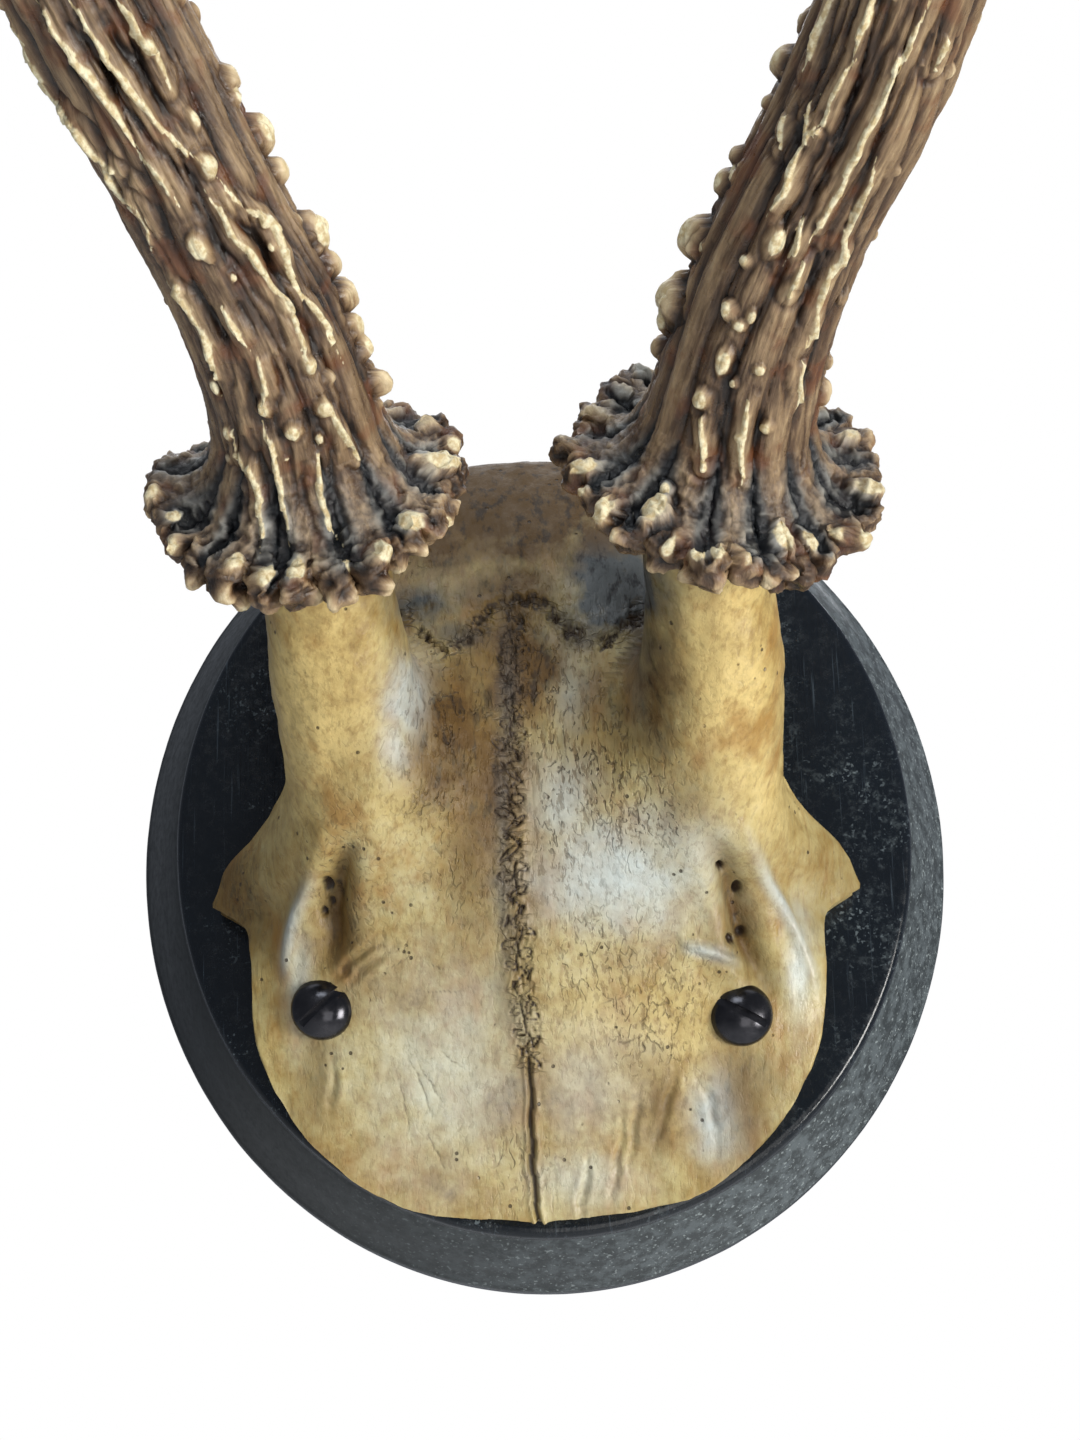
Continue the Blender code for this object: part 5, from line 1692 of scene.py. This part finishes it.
def brass_material():
    nodes = Nodes("brass")
    place = nodes.object_place()
    cloud = nodes.noise(place, 300, 4, 0.6)
    brushed = nodes.noise(nodes.stretched(place, (1500, 400, 80)), 1.0, 2)
    colour = nodes.mix(cloud, "brass_dark", "brass_bright")
    rough = nodes.between(brushed, 0.3, 0.8, 0.25, 0.45)
    return nodes.finish(colour, rough, brushed, 0.02 * MM, Metallic=1.0)


MATERIAL_MAKERS = {
    "antler": antler_material,
    "bone": bone_material,
    "ebony": ebony_material,
    "steel": steel_material,
    "brass": brass_material,
}
made_materials = {}


def material_of(name):
    if name not in made_materials:
        made_materials[name] = MATERIAL_MAKERS[name]()
    return made_materials[name]


def build_camera():
    right, up, forward = camera_axes()
    data = bpy.data.cameras.new("camera")
    data.sensor_width = SENSOR
    data.sensor_height = SENSOR
    data.lens = FOCAL_PIXELS / PICTURE_HEIGHT * SENSOR
    data.clip_start = 0.01
    camera = linked("camera", data)
    turn = Matrix((right, up, -forward)).transposed().to_4x4()
    camera.matrix_world = Matrix.Translation(Vector(CAMERA_PLACE)) @ turn
    bpy.context.scene.camera = camera


def add_light(name, place, aim, size, power, colour):
    data = bpy.data.lights.new(name, "AREA")
    data.size = size
    data.energy = power
    data.color = colour
    light = linked(name, data)
    light.location = place
    light.rotation_euler = (Vector(aim) - Vector(place)).to_track_quat("-Z", "Y").to_euler()


def build_stage():
    build_camera()
    bm = bmesh.new()
    bmesh.ops.create_grid(bm, x_segments=1, y_segments=1, size=3)
    bmesh.ops.translate(bm, verts=bm.verts, vec=(0, 0, FLOOR_HEIGHT))
    floor = linked("floor", mesh_of(bm, "floor"))
    floor.data.materials.append(Nodes("floor").finish("floor", 0.8))
    world = bpy.data.worlds.new("studio")
    world.use_nodes = True
    tree = world.node_tree
    background = tree.nodes["Background"]
    background.inputs["Color"].default_value = SKY_COLOUR
    background.inputs["Strength"].default_value = SKY_STRENGTH
    bright = tree.nodes.new("ShaderNodeBackground")
    bright.inputs["Color"].default_value = (1, 1, 1, 1)
    bright.inputs["Strength"].default_value = 1.0
    path = tree.nodes.new("ShaderNodeLightPath")
    mix = tree.nodes.new("ShaderNodeMixShader")
    tree.links.new(path.outputs["Is Camera Ray"], mix.inputs[0])
    tree.links.new(background.outputs[0], mix.inputs[1])
    tree.links.new(bright.outputs[0], mix.inputs[2])
    tree.links.new(mix.outputs[0], tree.nodes["World Output"].inputs["Surface"])
    bpy.context.scene.world = world
    bpy.context.scene.view_settings.view_transform = "Standard"
    for name, settings in LIGHTS.items():
        add_light(name, *settings)


def colour_property(label, text, colour):
    return bpy.props.FloatVectorProperty(name=label, description=text, subtype="COLOR", default=colour)


class TrophyColours(bpy.types.PropertyGroup):
    """The colours that can be changed before the pieces are built"""

    antler_dark: colour_property(
        "Antler furrows", "Colour of the antlers' deep furrows", (0.014, 0.008, 0.005)
    )
    antler_brown: colour_property("Antler brown", "Main brown of the antlers", (0.09, 0.05, 0.025))
    antler_tan: colour_property("Antler tan", "Worn ridges of the antlers", (0.32, 0.215, 0.115))
    antler_cream: colour_property("Antler cream", "Polished crests of the antlers", (0.66, 0.52, 0.31))
    bone_brown: colour_property("Bone brown", "Darkest tone of the skull", (0.17, 0.1, 0.027))
    bone_ochre: colour_property("Bone ochre", "Main tone of the skull", (0.33, 0.225, 0.07))
    bone_cream: colour_property("Bone cream", "Pale tone of the skull", (0.45, 0.36, 0.15))
    bone_pale: colour_property("Bone pale", "Lightest tone of the skull", (0.56, 0.5, 0.28))
    ebony: colour_property("Ebonised wood", "Colour of the plaque's face", (0.003, 0.004, 0.006))


class TROPHY_OT_stage(bpy.types.Operator):
    """Set up the camera, the pale floor and the soft studio light"""

    bl_idname = "trophy.stage"
    bl_label = "Stage"

    def execute(self, context):
        build_stage()
        return {"FINISHED"}


class TROPHY_OT_plaque(bpy.types.Operator):
    """Build the ebonised oval plaque and finish its hanger"""

    bl_idname = "trophy.plaque"
    bl_label = "Plaque"

    def execute(self, context):
        build_plaque()
        build_hanger()
        return {"FINISHED"}


class TROPHY_OT_skull(bpy.types.Operator):
    """Build the skull cap's frontal and parietal bones"""

    bl_idname = "trophy.skull"
    bl_label = "Skull cap"

    def execute(self, context):
        build_skull()
        return {"FINISHED"}


class TROPHY_OT_pedicles(bpy.types.Operator):
    """Build the two pedicles"""

    bl_idname = "trophy.pedicles"
    bl_label = "Pedicles"

    def execute(self, context):
        for side_name in SIDES:
            build_pedicle(side_name)
        return {"FINISHED"}


class TROPHY_OT_antlers(bpy.types.Operator):
    """Build both antlers with their burrs, beams and tines"""

    bl_idname = "trophy.antlers"
    bl_label = "Antlers"

    def execute(self, context):
        for side_name in SIDES:
            build_antler(side_name)
        return {"FINISHED"}


class TROPHY_OT_screws(bpy.types.Operator):
    """Build the two round-head screws"""

    bl_idname = "trophy.screws"
    bl_label = "Screws"

    def execute(self, context):
        for side_name in SIDES:
            build_screw(side_name)
        return {"FINISHED"}


class TROPHY_PT_panel(bpy.types.Panel):
    """The trophy's pieces and colours"""

    bl_idname = "TROPHY_PT_panel"
    bl_label = "Roe deer trophy"
    bl_space_type = "VIEW_3D"
    bl_region_type = "UI"
    bl_category = "Trophy"

    def draw(self, context):
        for operator in OPERATORS:
            self.layout.operator(operator.bl_idname)
        colours = context.scene.trophy_colours
        for name in TrophyColours.__annotations__:
            self.layout.prop(colours, name)


OPERATORS = (
    TROPHY_OT_stage,
    TROPHY_OT_plaque,
    TROPHY_OT_skull,
    TROPHY_OT_pedicles,
    TROPHY_OT_antlers,
    TROPHY_OT_screws,
)
CLASSES = (TrophyColours, *OPERATORS, TROPHY_PT_panel)


def register():
    for item in CLASSES:
        bpy.utils.register_class(item)
    bpy.types.Scene.trophy_colours = bpy.props.PointerProperty(type=TrophyColours)


def unregister():
    del bpy.types.Scene.trophy_colours
    for item in reversed(CLASSES):
        bpy.utils.unregister_class(item)


def main():
    register()
    bpy.ops.trophy.stage()
    bpy.ops.trophy.plaque()
    bpy.ops.trophy.skull()
    bpy.ops.trophy.pedicles()
    bpy.ops.trophy.antlers()
    bpy.ops.trophy.screws()


if __name__ == "__main__":
    main()
